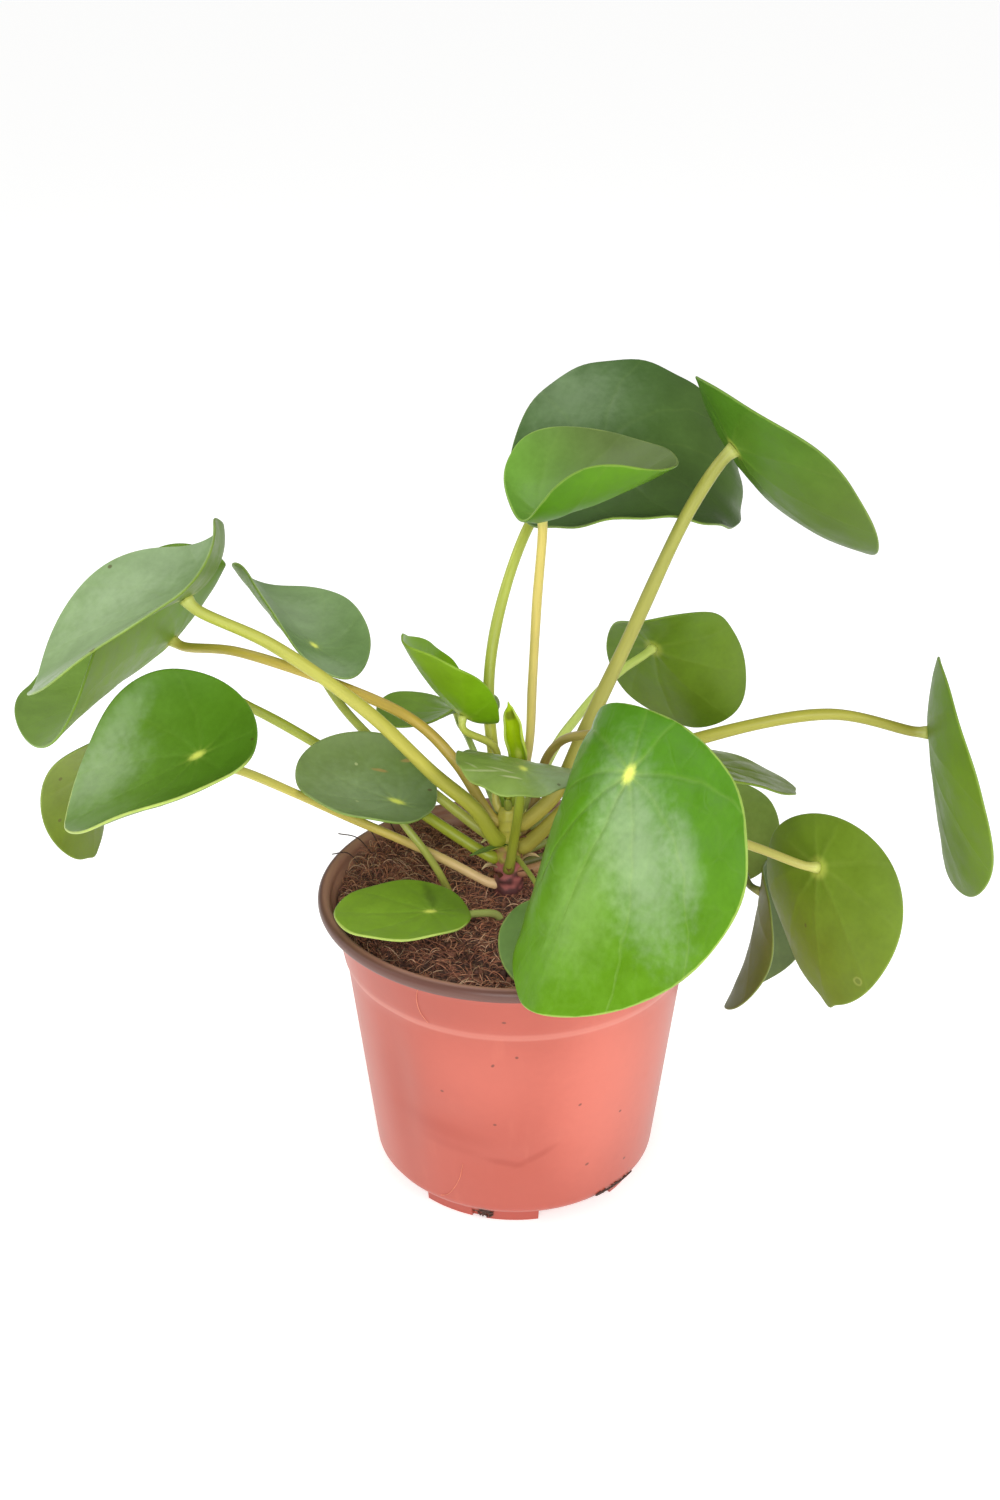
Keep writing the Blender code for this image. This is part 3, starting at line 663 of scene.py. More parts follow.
def leaf_finish(name, look):
    """Both sides and the rim of one leaf."""
    mat, w, shader = start_finish("leaf " + name, 0.36)
    shader["Specular IOR Level"].default_value = 0.24
    place = w.scale(w.vector("SUBTRACT", w.flat_map(), (0.5, 0.5, 0.0)), FLAT_SIZE)
    rim_distance, upper_side, _ = w.split(w.painted("leaf"))
    rim_strength, rim_width, heading, spread = look.rim
    star_size, star_strength = look.star
    lines = w.use(LEAF_VEINS, Place=place, Width=0.75)
    marks = w.use(LEAF_MARKS, Place=place, Rim_distance=w.times(rim_distance, FACT_UNIT),
                  Veins=lines["Main"], Star=star_size, Rim=rim_width, Side=facing(heading),
                  Spread=cos(radians(spread)) - RIM_SOFTNESS)
    cloud = w.use(MOTTLE, Place=place, Cloud=10.0, Grain=1.6, Depth=0.16)
    dots = w.use(SPECKS, Place=place, Apart=13.0, Radius=0.3, Share=0.14)["Mask"]
    towards_tip = w.fade(w.split(place)[0], -0.3 * tip_reach(name), 0.75 * tip_reach(name))
    from_joint = w.vector("LENGTH", place)

    above = w.mix(towards_tip, tone(*look.upper[0]), tone(*look.upper[1]))
    above = add_patches(w, place, above, look.marks)
    above = w.tint(above, lines["Net"], NET_TINT * look.veins, (160, 190, 100))
    above = w.tint(above, lines["Main"], VEIN_TINT * look.veins, (164, 194, 96))
    above = w.tint(above, marks["Rays"], RAY_TINT * star_strength, (186, 210, 90))
    above = w.tint(above, marks["Star"], star_strength, (234, 242, 112))

    below = w.mix(towards_tip, tone(*look.under[0]), tone(*look.under[1]))
    below = add_patches(w, place, below, look.under_marks)
    below = w.tint(below, lines["Net"], NET_TINT, (148, 168, 92))
    vein_show = w.fade(from_joint, 4.0, 14.0, 0.1, VEIN_TINT)
    below = w.tint(below, lines["Main"], vein_show, UNDER_VEIN_CHIP)
    below = w.mix(w.fade(from_joint, 1.5, 4.5, 0.7, 0.0), below, tone(*UNDER_JOINT_CHIP))

    colour = w.mix(upper_side, below, above)
    colour = w.tint(colour, marks["Rim"], rim_strength, (184, 202, 104))
    colour = w.tint(colour, dots, 0.5, (96, 78, 40))
    w.feed(shader["Base Color"], w.scale(colour, cloud["Tone"]))

    sheen = w.fade(cloud["Height"], 0.7, 1.3, 0.3, 0.44)
    w.feed(shader["Roughness"], w.plus(sheen, w.fade(upper_side, 0.0, 1.0, 0.12, 0.0)))
    main_depth = w.fade(upper_side, 0.0, 1.0, VEIN_RIDGE, -VEIN_FURROW * look.veins)
    net_depth = w.fade(upper_side, 0.0, 1.0, NET_RIDGE, -NET_FURROW * look.veins)
    relief = w.plus(w.times(lines["Main"], main_depth), w.times(lines["Net"], net_depth))
    height = w.plus(relief, w.times(cloud["Height"], SKIN_GRAIN))
    w.bump(shader, height, 0.55, 0.3)
    return mat


def tip_reach(name):
    """Distance from the joint to the tip of the flat leaf."""
    return LEAVES[name].size[0] * (LEAVES[name].shape[0] + 0.5)


print("reach of a leaf's flat map on each side of its joint:", FLAT_SIZE / 2, "mm")

# %% [markdown]
# ## Leaf shapes
# A leaf starts flat: an oval that is a little fuller on one side, measured from the joint. It
# is then rolled like paper along two directions, twisted, and set in place by the heading,
# dip and roll of its tip. The same few numbers made the plain solids, so the fine leaf keeps
# their form. Only left_high_rear is a millimetre smaller here, because its smooth rim reaches
# farther out than the solid's straight-sided one. Most of the numbers were fitted by least
# squares to outlines traced on the photograph, and then rounded. A subdivision surface could
# smooth the plain solid, but it would round off the rim and know nothing about veins, so a
# fine mesh is computed straight from the numbers.

# %% Leaf data
@dataclass
class Leaf:
    """One leaf. Curls are degrees in each 10 mm, towards the upper side."""
    joint: tuple          # where the stalk meets the blade
    aim: tuple            # heading of the tip, its dip below level, roll about it (degrees)
    size: tuple           # length and width laid flat
    shape: tuple          # joint's distance behind the middle over length, and egg share
    curl: tuple           # towards the tip, the base, the left edge and the right edge
    warp: tuple           # twist (degrees in each 10 mm), turn of the curl directions
    root: tuple           # heading and height on the stem, or x, y, z in the soil
    bends: tuple          # points that the stalk passes through
    thick: tuple          # stalk diameter at its root and at the blade


LEAVES = {
    "left_high_front": Leaf(
        (-92, -10, 193), (-165, 20, 24), (76, 75), (0.16, -0.08), (-3, 33, -1.5, 18), (-1.5, -3),
        (222, 107), ((-12, 5, 119), (-24, 2, 132), (-43, -3, 155), (-69, -8, 178)), (4.8, 3.2)),
    "left_high_rear": Leaf(
        (-109.9, 57.6, 152.9), (-120.6, 10.4, 52), (97.8, 84.8), (0.19, -0.11), (1.8, 34, 7, 11),
        (6.1, 39), (180, 112), ((-18, 15, 130), (-30, 20, 141), (-53, 29, 149), (-86, 40, 156)),
        (3.6, 3.0)),
    "left_rear": Leaf(
        (-63, 45, 156), (119, -7, 19), (71, 45), (0.19, -0.15), (0, -1, 27, 26), (0.6, -3),
        (160, 105), ((-24, 20, 116), (-36, 26, 124), (-47, 33, 132), (-56, 40, 140)), (3.4, 2.6)),
    "left_middle": Leaf(
        (-90, -20, 149), (-165, 24, -12), (62, 64), (0.18, 0.13), (-1, 9, 14, 21), (-0.4, -17),
        (200, 91), ((-21, 11, 98), (-33, 10, 105), (-52, 9, 115), (-66, 4, 125), (-80, -9, 139)),
        (3.0, 2.6)),
    "left_low": Leaf(
        (-127, 30, 124), (152, 57, 4), (54, 47), (0.21, 0.11), (-10, -8, 13, 16), (-0.1, 12),
        (195, 100), ((-28, 17, 111), (-46, 28, 119), (-62, 36, 126), (-81, 36, 138),
                     (-103, 33, 150), (-114, 28, 137)), (3.6, 2.8)),
    "centre_left": Leaf(
        (-36, 8, 120), (165, -12, 6), (44, 46), (0.24, 0.18), (1, 14, 7, 24), (0.5, 28),
        (-20, 5, 81), ((-20, 5, 88), (-23, 4, 97), (-28, 4, 106)), (2.6, 2.2)),
    "soil_left": Leaf(
        (-25, -25, 101), (-177, 2, 2), (40, 37), (0.20, 0.08), (2, -16, 6, 3), (-0.2, 11),
        (-5, -6, 81), ((-5, -6, 88), (-12, -14, 94)), (2.4, 2.2)),
    "soil_front": Leaf(
        (10, -35, 102), (-110, 33, -7), (29, 28), (0.19, 0.09), (-2, -3, 0, 0), (0, 0),
        (305, 101), ((7, -14, 102),), (1.6, 1.4)),
    "front": Leaf(
        (29, -56, 161), (-141, 54, -5), (86, 92), (0.29, 0.31), (-2, -6, 5, -16), (-3.0, 17),
        (15, 108), ((7, 15, 121), (9, 14, 131), (13, 8, 140), (20, -8, 150), (30, -22, 156),
                    (38, -42, 156)), (2.8, 2.6)),
    "centre": Leaf(
        (2, -10, 140), (104, 1, 9), (40, 37), (0.16, 0.11), (-18, -20, -3, 0), (0.7, -22),
        (270, 98), ((0, 1, 114), (1, -7, 127)), (3.2, 2.6)),
    "young_left": Leaf(
        (-15.8, 12, 147.6), (170, -35, 38), (41.5, 44), (0.23, -0.18), (6.5, 50, 49.5, 22),
        (5.2, 52), (155, 116), ((-6, 16, 134),), (2.4, 2.2)),
    "rear_left": Leaf(
        (-19, 56, 129), (183, 7, 18), (41, 40), (0.14, 0.18), (-4, -17, 21, 16), (-0.5, 47),
        (125, 112), ((-13, 32, 126), (-16, 46, 126)), (2.4, 2.0)),
    "furled": Leaf(
        (1, 15, 133), (175, -79, -90), (19, 9), (0.35, 0.45), (0, 0, 230, 230), (0, 0),
        (0, 118.6), ((-1, 13, 125),), (2.4, 1.8)),
    "top": Leaf(
        (27, 58, 216), (-27, 12, 45), (85, 80), (0.17, 0.07), (-14, -1, -5, 14), (-3.9, 26),
        (90, 110), ((-7, 22, 132), (-8, 28, 153), (-4, 38, 174), (5, 51, 195), (14, 62, 203)),
        (3.8, 3.0)),
    "top_cup": Leaf(
        (7, 9, 211), (14, -14, 7), (50, 56), (0.33, 0.35), (3, 48, 17, 31), (-0.5, -2),
        (62, 116), ((4, 20, 132), (5, 18, 155), (6, 12, 183)), (2.8, 2.8)),
    "top_right": Leaf(
        (61, 12, 229), (-30, 54, -41), (71, 70), (0.18, -0.01), (10, -3, 7, 10), (0.4, 40),
        (335, 112), ((12, 8, 123), (20, 9, 142), (32, 11, 170), (49, 12, 211)), (4.8, 3.6)),
    "right_rear": Leaf(
        (45, 61, 149), (-19, 52, -64), (50, 51), (0.21, 0.10), (4, -32, 0, 32), (-1.3, 23),
        (45, 111), ((13, 28, 130), (19, 36, 135), (27, 45, 141), (35, 53, 145)), (3.2, 2.6)),
    "far_right": Leaf(
        (121, 0, 147), (-82, 66, -67), (72, 70), (0.19, 0.05), (1, 10, 7, 11), (0.3, 37),
        (345, 104), ((17, 7, 120), (37, 6, 135), (55, 5, 143), (92, 2, 152)), (4.8, 3.0)),
    "right_low": Leaf(
        (88, -20, 113), (76, 107, 35), (58, 54), (0.23, 0.09), (4, 8, 13, 15), (-0.3, -33),
        (325, 96), ((14, 7, 101), (32, 1, 112), (53, -7, 119), (70, -15, 117)), (3.2, 2.6)),
    "right_folded": Leaf(
        (81, 33, 74), (53, 98, 76), (54, 46), (0.29, 0.0), (-4, -4, 44, 26), (0.5, 0),
        (10, 97), ((26, 15, 103), (51, 21, 104), (70, 27, 91)), (2.8, 2.4)),
    "right_shaded": Leaf(
        (72, 60, 90), (-83, 34, 12), (37, 32), (0.20, 0.06), (-3, -3, 0, 0), (0, 0),
        (40, 99), ((27, 30, 102), (46, 48, 99), (60, 64, 84)), (2.4, 2.0)),
    "right_level": Leaf(
        (62, 44, 115), (13, 11, -6), (45, 41), (0.21, 0.07), (-6, -3, -2, 5), (0.2, -8),
        (50, 106), ((27, 30, 111), (48, 40, 110)), (2.6, 2.2)),
}
print("longest leaf:", max(leaf.size[0] for leaf in LEAVES.values()), "mm")

# %% [markdown]
# ## Leaf meshes
# The points of a leaf lie on rings round its joint, close together at the rim, so the edge
# comes out thin and rounded. The main veins sink a little into the upper side and stand out
# below, the skin between them is faintly puckered, and the rim waves gently. Working on whole
# arrays at once keeps twenty-two leaves quick.

# %% Leaf meshes
BLADE_THICKNESS = 0.8
SURFACE_STEP = 0.2        # half the span over which a blade's slope is measured
LARGE_BLADE = 45.0
LARGE_GRID = (120, 30)    # spokes and inner rings of a large leaf
SMALL_GRID = (80, 20)
RIM_RINGS = (1.2, 0.6, 0.3, 0.12, 0.03)     # distances of the last rings from the rim
INNER_END = 1.8           # where the inner rings stop, in gaps of the first rim ring
RIM_ROUND = 0.5           # how wide the rounding of the edge is
CALM_RIM = 6.0            # veins and puckers fade out this near the rim
VEIN_DEPTH, VEIN_SPREAD = 0.13, 1.2
PUCKER, PUCKER_SIZE = 0.1, 7.0
POINT_SPREAD = 0.13       # radians over which a drawn-out tip fades
WAVE_ONSET = 6            # the higher, the nearer to the rim its waves stay


def arc(length, bend):
    """End of an arc that starts level: how far along and how high it ends."""
    if abs(bend) < 1e-6:
        return length, 0.0 * length
    return np.sin(bend * length) / bend, (1 - np.cos(bend * length)) / bend


def curled(leaf, u, v):
    """Points of the curled middle surface, from their places on the flat leaf."""
    tip, base, left, right = (radians(bend) / 10 for bend in leaf.curl)
    turn = radians(leaf.warp[1])
    a = u * cos(turn) + v * sin(turn)
    b = v * cos(turn) - u * sin(turn)
    (x_tip, z_tip), (x_base, z_base) = arc(a, tip), arc(a, base)
    (y_left, z_left), (y_right, z_right) = arc(b, left), arc(b, right)
    x, y = np.where(a > 0, x_tip, x_base), np.where(b > 0, y_left, y_right)
    lift = np.where(a > 0, z_tip, z_base) + np.where(b > 0, z_left, z_right)
    lift = lift + radians(leaf.warp[0]) / 10 * a * b
    return np.stack((x * cos(turn) - y * sin(turn), x * sin(turn) + y * cos(turn), lift), -1)


def leaf_axes(leaf):
    """Directions of the tip, the left edge and the upper side."""
    heading, dip, roll = (radians(angle) for angle in leaf.aim)
    tip = Vector((cos(heading) * cos(dip), sin(heading) * cos(dip), -sin(dip)))
    level_left = Vector((-sin(heading), cos(heading), 0.0))
    left = level_left * cos(roll) + tip.cross(level_left) * sin(roll)
    return tip, left, tip.cross(left)


def flat_rim(leaf, look, angle):
    """Rim of the flat leaf, with a drawn-out tip where the look asks for one."""
    length, width = leaf.size
    offset, egg = leaf.shape
    nearest = np.minimum(angle, 2 * pi - angle)
    point = look.point * np.exp(-(nearest / POINT_SPREAD) ** 2)
    return (length * (offset + np.cos(angle) / 2) + point,
            width / 2 * np.sin(angle) * (1 - egg * np.cos(angle)))


def leaf_surface(leaf, look):
    """Points, flat map and painted facts of a leaf, in the order that ring_faces needs."""
    spokes, inner = LARGE_GRID if leaf.size[0] > LARGE_BLADE else SMALL_GRID
    angle = np.arange(spokes) * 2 * pi / spokes
    rim_u, rim_v = flat_rim(leaf, look, angle)
    reach = np.hypot(rim_u, rim_v)
    steps = np.linspace(0, 1, inner + 1)[:, None]
    away = np.vstack((steps * (reach - RIM_RINGS[0] * INNER_END),
                      *(reach - gap for gap in RIM_RINGS), reach))
    share = away / reach
    u, v = share * rim_u, share * rim_v
    along = curled(leaf, u + SURFACE_STEP, v) - curled(leaf, u - SURFACE_STEP, v)
    across = curled(leaf, u, v + SURFACE_STEP) - curled(leaf, u, v - SURFACE_STEP)
    normal = np.cross(along, across)
    normal /= np.linalg.norm(normal, axis=-1, keepdims=True)
    inset = 1 - np.clip((reach - away) / RIM_ROUND, 0, 1)
    half = BLADE_THICKNESS / 2 * np.sqrt(1 - inset ** 2)
    calm = np.clip((reach - away) / CALM_RIM, 0, 1)
    vein = vein_closeness(u, v, VEIN_SPREAD) * VEIN_DEPTH * look.veins * calm
    high, count, shift = look.wave
    wave = high * share ** WAVE_ONSET * np.sin(count * angle + shift)
    pucker = PUCKER * (1 + look.veins) * calm * np.array([
        [noise.noise(Vector((p, q, shift * 9)) / PUCKER_SIZE) for p, q in zip(*row)]
        for row in zip(u, v)])
    middle = curled(leaf, u, v)
    top = middle + normal * (wave + pucker + half - vein)[..., None]
    under = middle + normal * (wave + pucker - half - vein)[..., None]
    tip, left, up = leaf_axes(leaf)
    turn = np.array((tip, left, up))
    edge = middle[-1] + normal[-1] * wave[-1][:, None]
    flat = np.stack((u, v), -1) / FLAT_SIZE + 0.5
    facts = np.stack(((reach - away) / FACT_UNIT, 0 * share, share), -1)
    points = top_to_bottom(top, edge, under) @ turn + np.array(leaf.joint)
    maps = top_to_bottom(flat, flat[-1], flat)
    painted = top_to_bottom(facts + np.array((0, 1, 0)), facts[-1] + np.array((0, 0.5, 0)), facts)
    return points, maps, painted, 2 * (len(share) - 2) + 1, spokes


def top_to_bottom(top, edge, under):
    """Rows of the upper side from its middle out, the edge, and the underside back in."""
    width = edge.shape[-1]
    return np.vstack((top[0, :1], top[1:-1].reshape(-1, width), edge,
                      under[-2:0:-1].reshape(-1, width), under[0, :1]))


print("spokes of a large leaf:", LARGE_GRID[0], "rings on each side:", LARGE_GRID[1] + len(RIM_RINGS))

for name, leaf in LEAVES.items():
    points, maps, painted, rings, spokes = leaf_surface(leaf, LOOKS[name])
    blade = add_piece("leaf_" + name, points, ring_faces(rings, spokes),
                      [leaf_finish(name, LOOKS[name])], "blade_" + name)
    lay_flat(blade, maps)
    paint(blade, "leaf", painted)
print("points in the last leaf:", len(points))

# %% [markdown]
# ## Leaf stalks
# Each stalk is a juicy round rod, thickest where it leaves the stem, that flares a little
# where it meets its leaf. A bevelled curve would do for an even rod. Rings along a smooth
# route do the same and let the radius and the tone change on the way: pinkish or brown at
# the root, yellow-green further up, and pale at the joint.

# %% Stalk routes
STEM_AXIS = (-2.0, 11.0)
STEM_TOP, STEM_FOOT = 118.6, 80.0
STEM_PROFILE = ((1.8, 118.2), (3.1, 116.6), (3.7, 113.0), (4.1, 106.0), (4.5, 100.0),
                (4.9, 94.0), (4.8, 88.0), (4.3, 80.0))      # radius and height
TIP_LEAD = 2.3            # how far a stalk at the stem's tip goes straight up
ROOT_INSIDE, ROOT_OUTSIDE = 2.0, 1.6        # how far a stalk runs straight through the skin
ROOT_SPREAD = 0.6         # the higher, the more squarely a stalk leaves the stem
JOINT_LEAD = 4.0          # how far a stalk runs straight into its joint
STALK_STEP = 1.5


def smooth_route(points, step):
    """Points along a centripetal Catmull-Rom curve through the given points."""
    ends = [points[0] * 2 - points[1]] + points + [points[-1] * 2 - points[-2]]
    route = [points[0]]
    for p0, p1, p2, p3 in zip(ends, ends[1:], ends[2:], ends[3:]):
        t0 = 0.0
        t1 = t0 + (p1 - p0).length ** 0.5
        t2 = t1 + (p2 - p1).length ** 0.5
        t3 = t2 + (p3 - p2).length ** 0.5
        count = max(1, round((p2 - p1).length / step))
        for i in range(1, count + 1):
            t = t1 + (t2 - t1) * i / count
            a1 = p0.lerp(p1, (t - t0) / (t1 - t0))
            a2 = p1.lerp(p2, (t - t1) / (t2 - t1))
            a3 = p2.lerp(p3, (t - t2) / (t3 - t2))
            b1 = a1.lerp(a2, (t - t0) / (t2 - t0))
            b2 = a2.lerp(a3, (t - t1) / (t3 - t1))
            route.append(b1.lerp(b2, (t - t1) / (t2 - t1)))
    return route


def stem_radius(height):
    """Radius of the stem at a height."""
    radii, heights = zip(*STEM_PROFILE[::-1])
    return float(np.interp(height, heights, radii))


def stalk_guides(leaf):
    """Points that a stalk passes through, from inside the stem to inside the leaf."""
    if len(leaf.root) == 3:
        guides = [Vector(leaf.root)]
    else:
        heading, height = leaf.root
        axis = Vector((*STEM_AXIS, height))
        if height >= STEM_TOP:
            guides = [axis - Vector((0, 0, 1)), axis + Vector((0, 0, TIP_LEAD))]
        else:
            out = Vector(facing(heading))
            skin = axis + out * stem_radius(height - leaf.thick[0] / 2)
            ahead = ((Vector(leaf.bends[0]) - skin).normalized() + out * ROOT_SPREAD).normalized()
            guides = [skin - ahead * ROOT_INSIDE, skin + ahead * ROOT_OUTSIDE]
    joint = Vector(leaf.joint)
    under = -leaf_axes(leaf)[2]
    incoming = (Vector(leaf.bends[-1]) - joint).normalized()
    lead = (under + incoming).normalized()
    end = joint + lead * (BLADE_THICKNESS / 2 / lead.dot(under))
    return guides + [Vector(bend) for bend in leaf.bends] + [end + lead * JOINT_LEAD, end]


print("guides of the first stalk:", len(stalk_guides(LEAVES["left_high_front"])))

# %% [markdown]
# ## Stalk finish
# The skin of a stalk has fine streaks that run along it, and a few brown dots. Streaks are
# clouds of noise stretched in one direction. Noise on the flat map would show a seam where
# the map's two edges meet, so the way round is first wrapped into a circle. The finish also
# serves the stem and the small sheets on it, which only differ in their painted tones.

# %% Stalk finish
STREAK_ROUND, STREAK_ALONG = 1.5, 18.0      # the wrapped map's radius and its length

STALK, w, shader = start_finish("leaf stalk", 0.42)
flat = w.split(w.flat_map())
around = w.times(flat[0], 2 * pi)
place = w.join(w.times(w.math("COSINE", around), STREAK_ROUND),
               w.times(w.math("SINE", around), STREAK_ROUND), w.times(flat[1], STREAK_ALONG))
streak = w.use(MOTTLE, Place=place, Cloud=1.4, Grain=0.45, Depth=0.14)
dots = w.use(SPECKS, Place=place, Apart=2.2, Radius=0.25, Share=0.12)["Mask"]
colour = w.tint(w.painted("tone"), dots, 0.5, (120, 92, 50))
w.feed(shader["Base Color"], w.scale(colour, streak["Tone"]))
w.bump(shader, streak["Height"], 0.3, 0.15)
print("finish:", STALK.name)

# %% [markdown]
# ## Stalk meshes
# A tube is a row of rings set square to its route. Each ring takes its direction over from
# the one before, so the tube doesn't twist. The radius flares at both ends and swells a
# little on the way, and each ring is painted with a tone between three paint chips.

# %% Stalks
STALK_SIDES = 18
FLAT_LENGTH = 200.0       # millimetres along a stalk that its flat map spans
ROOT_FLARE, JOINT_FLARE = (0.2, 4.0), (0.35, 1.8)     # share of the radius, and reach
SWELL, SWELL_SIZE = 0.025, 5.3
END_ROUND = 2.2
CHIP_PLACES = (0.0, 0.35, 1.0)              # where along the stalk its three chips lie
JOINT_TONE = tone_rows([(206, 214, 118)])
JOINT_PALE = (0.7, 2.5)   # how much of the pale tone lies at the joint, and its reach


def tube(route, radii, sides):
    """Points of a closed round tube along a route, in the order that ring_faces needs."""
    spots = np.array([list(spot) for spot in route])
    forward = np.gradient(spots, axis=0)
    forward /= np.linalg.norm(forward, axis=1, keepdims=True)
    first = np.cross(forward[0], (0.31, 0.42, 0.85))
    turn = np.arange(sides) * 2 * pi / sides
    rings = []
    for spot, ahead, radius in zip(spots, forward, radii):
        first = first - ahead * (first @ ahead)
        first /= np.linalg.norm(first)
        second = np.cross(first, ahead)
        rings.append(spot + radius * (np.outer(np.cos(turn), first) + np.outer(np.sin(turn), second)))
    return np.vstack((spots[:1], *rings, spots[-1:]))


for name, leaf in LEAVES.items():
    route = smooth_route(stalk_guides(leaf), STALK_STEP)
    spots = np.array([list(spot) for spot in route])
    run = np.concatenate(([0], np.cumsum(np.linalg.norm(np.diff(spots, axis=0), axis=1))))
    to_go = run[-1] - run
    share = run / run[-1]
    radii = (leaf.thick[0] + (leaf.thick[1] - leaf.thick[0]) * share) / 2
    radii = radii * (1 + ROOT_FLARE[0] * np.exp(-(run / ROOT_FLARE[1]) ** 2)
                     + JOINT_FLARE[0] * np.exp(-(to_go / JOINT_FLARE[1]) ** 2)
                     + SWELL * np.sin(run / SWELL_SIZE + leaf.joint[0]))
    radii = radii * np.sqrt(np.clip((run + 0.5) / END_ROUND, 0, 1))
    tones = tone_rows(LOOKS[name].stalk)
    ring_tone = np.stack([np.interp(share, CHIP_PLACES, tones[:, c]) for c in range(3)], -1)
    pale = np.exp(-(to_go / JOINT_PALE[1]) ** 2)[:, None] * JOINT_PALE[0]
    ring_tone = ring_tone * (1 - pale) + JOINT_TONE * pale
    stalk = add_piece("leaf_stalk_" + name, tube(route, radii, STALK_SIDES),
                      ring_faces(len(route), STALK_SIDES), [STALK], "stalk_" + name)
    around = np.abs(np.linspace(-1, 1, STALK_SIDES, endpoint=False))
    maps = np.array([(turn / 2, r / FLAT_LENGTH) for r in run for turn in around])
    lay_flat(stalk, np.vstack((maps[:1], maps, maps[-1:])))
    shade = np.repeat(ring_tone, STALK_SIDES, axis=0)
    paint(stalk, "tone", np.vstack((shade[:1], shade, shade[-1:])))
print("length of the last stalk:", round(run[-1]), "mm")

# %% [markdown]
# ## Stem
# The short stem is a stack of old leaf joints: a fleshy rod with low rings, half-moon scars
# and a pink tinge, green at the growing tip. It is turned like a vase, and every point is
# then pushed in or out by the rings and by noise, which a lathe alone can't do.

# %% Stem
STEM_SIDES, STEM_ROWS = 48, 90
SCAR_HEIGHT, SCAR_TILT = 3.4, 1.3           # distance between two old joints, and their slant
STEM_SLACK = 0.96         # leaves room for the rings and the roughness
RING_DEPTH, ROUGH_DEPTH = 0.12, 0.32
ROUGH_SIZE = 2.2
GREEN_FROM, GREEN_SPAN = 97, 7              # the tip is green, and pink lies below it
BROWN_FROM, BROWN_SPAN = 96, 5              # corky and brown near the soil
STEM_GREEN, STEM_PINK, STEM_BROWN = tone_rows([(184, 178, 72), (184, 108, 104), (88, 56, 56)])

stem_points, stem_tones = [], []
for height in np.linspace(STEM_TOP - 0.3, STEM_FOOT, STEM_ROWS):
    round_off = np.sqrt(np.clip((STEM_TOP - height) / END_ROUND, 0.02, 1))
    for angle in np.arange(STEM_SIDES) * 2 * pi / STEM_SIDES:
        ring = abs(((height + SCAR_TILT * sin(angle)) / SCAR_HEIGHT) % 1 - 0.5) * 2
        rough = noise.noise(Vector((cos(angle) * 2, sin(angle) * 2, height / ROUGH_SIZE)))
        radius = stem_radius(height) * round_off * STEM_SLACK
        radius = radius + RING_DEPTH * ring ** 4 + ROUGH_DEPTH * rough
        stem_points.append((STEM_AXIS[0] + radius * cos(angle), STEM_AXIS[1] + radius * sin(angle),
                            height))
        green = np.clip((height - GREEN_FROM) / GREEN_SPAN + rough, 0, 1)
        brown = np.clip((BROWN_FROM - height) / BROWN_SPAN + rough * 1.8, 0, 0.9)
        skin = STEM_GREEN * green + STEM_PINK * (1 - green)
        skin = skin * (1 - brown) + STEM_BROWN * brown
        stem_tones.append(skin * (1 - 0.25 * ring ** 6))
ends = ((*STEM_AXIS, STEM_TOP - 0.1), (*STEM_AXIS, STEM_FOOT))
stem = add_piece("main_stem", [ends[0], *stem_points, ends[1]], ring_faces(STEM_ROWS, STEM_SIDES),
                 [STALK], "stem")
paint(stem, "tone", [stem_tones[0], *stem_tones, stem_tones[-1]])
maps = [((k % STEM_SIDES) / STEM_SIDES, point[2] / FLAT_LENGTH)
        for k, point in enumerate(stem_points)]
lay_flat(stem, [maps[0], *maps, maps[-1]])
print("stem:", round(STEM_TOP - STEM_FOOT, 1), "mm with what is in the soil")

# %% [markdown]
# ## Scales, bract and buds at the growing tip
# Every leaf of a pilea is born between two papery scales, which dry, turn brown and stay on
# the stem. Between the newest stalks sit tiny folded leaves. All of these are thin curved
# sheets with a pointed end, so one recipe makes them: a pointed outline, bent round an axis,
# given thickness and set on the stem at a heading and a height. One longer green bract lies
# in front of the stalks, straight and with a pale edge.

# %% Sheets on the stem
# Each has a heading and height on the stem, a length, a width, a lean outwards and a chip.
SCALES = (
    (218, 105.0, 7.5, 3.0, 62, (186, 180, 122)), (345, 98.5, 6.0, 2.8, 62, (226, 200, 148)),
    (345, 107.0, 10.0, 1.8, 9, (228, 228, 140)), (318, 106.0, 4.5, 2.6, 44, (132, 84, 70)),
    (207, 96.5, 5.0, 2.6, 74, (216, 188, 148)), (15, 103.0, 6.5, 3.4, 40, (150, 108, 70)),
    (60, 108.0, 6.0, 3.2, 34, (168, 126, 82)), (110, 104.0, 6.5, 3.4, 40, (150, 104, 66)),
    (160, 109.0, 6.0, 3.2, 36, (176, 134, 88)), (195, 106.0, 5.5, 3.0, 30, (126, 84, 52)),
    (270, 96.5, 6.0, 3.6, 56, (128, 84, 54)), (320, 94.5, 6.5, 3.4, 60, (112, 74, 50)),
    (230, 94.0, 6.0, 3.4, 58, (120, 80, 52)), (130, 96.0, 6.0, 3.4, 54, (116, 76, 50)),
    (40, 95.5, 6.0, 3.2, 54, (122, 82, 52)),
)
BUDS = ((200, 117.5, 6.5, 3.4, 18, (120, 150, 40)), (330, 117.8, 5.5, 3.0, 14, (150, 168, 50)),
        (90, 117.5, 6.0, 3.2, 16, (132, 158, 44)), (262, 117.0, 5.0, 2.8, 22, (160, 172, 70)))
BRACT = ((205, 106.0, 13.0, 3.4, 126, (104, 134, 56)),)
BRACT_ROOT = 268          # heading of its root on the stem, in front of the stalks
BRACT_EDGE = tone(206, 206, 80)
SHEET_ROWS, SHEET_COLUMNS = 14, 9
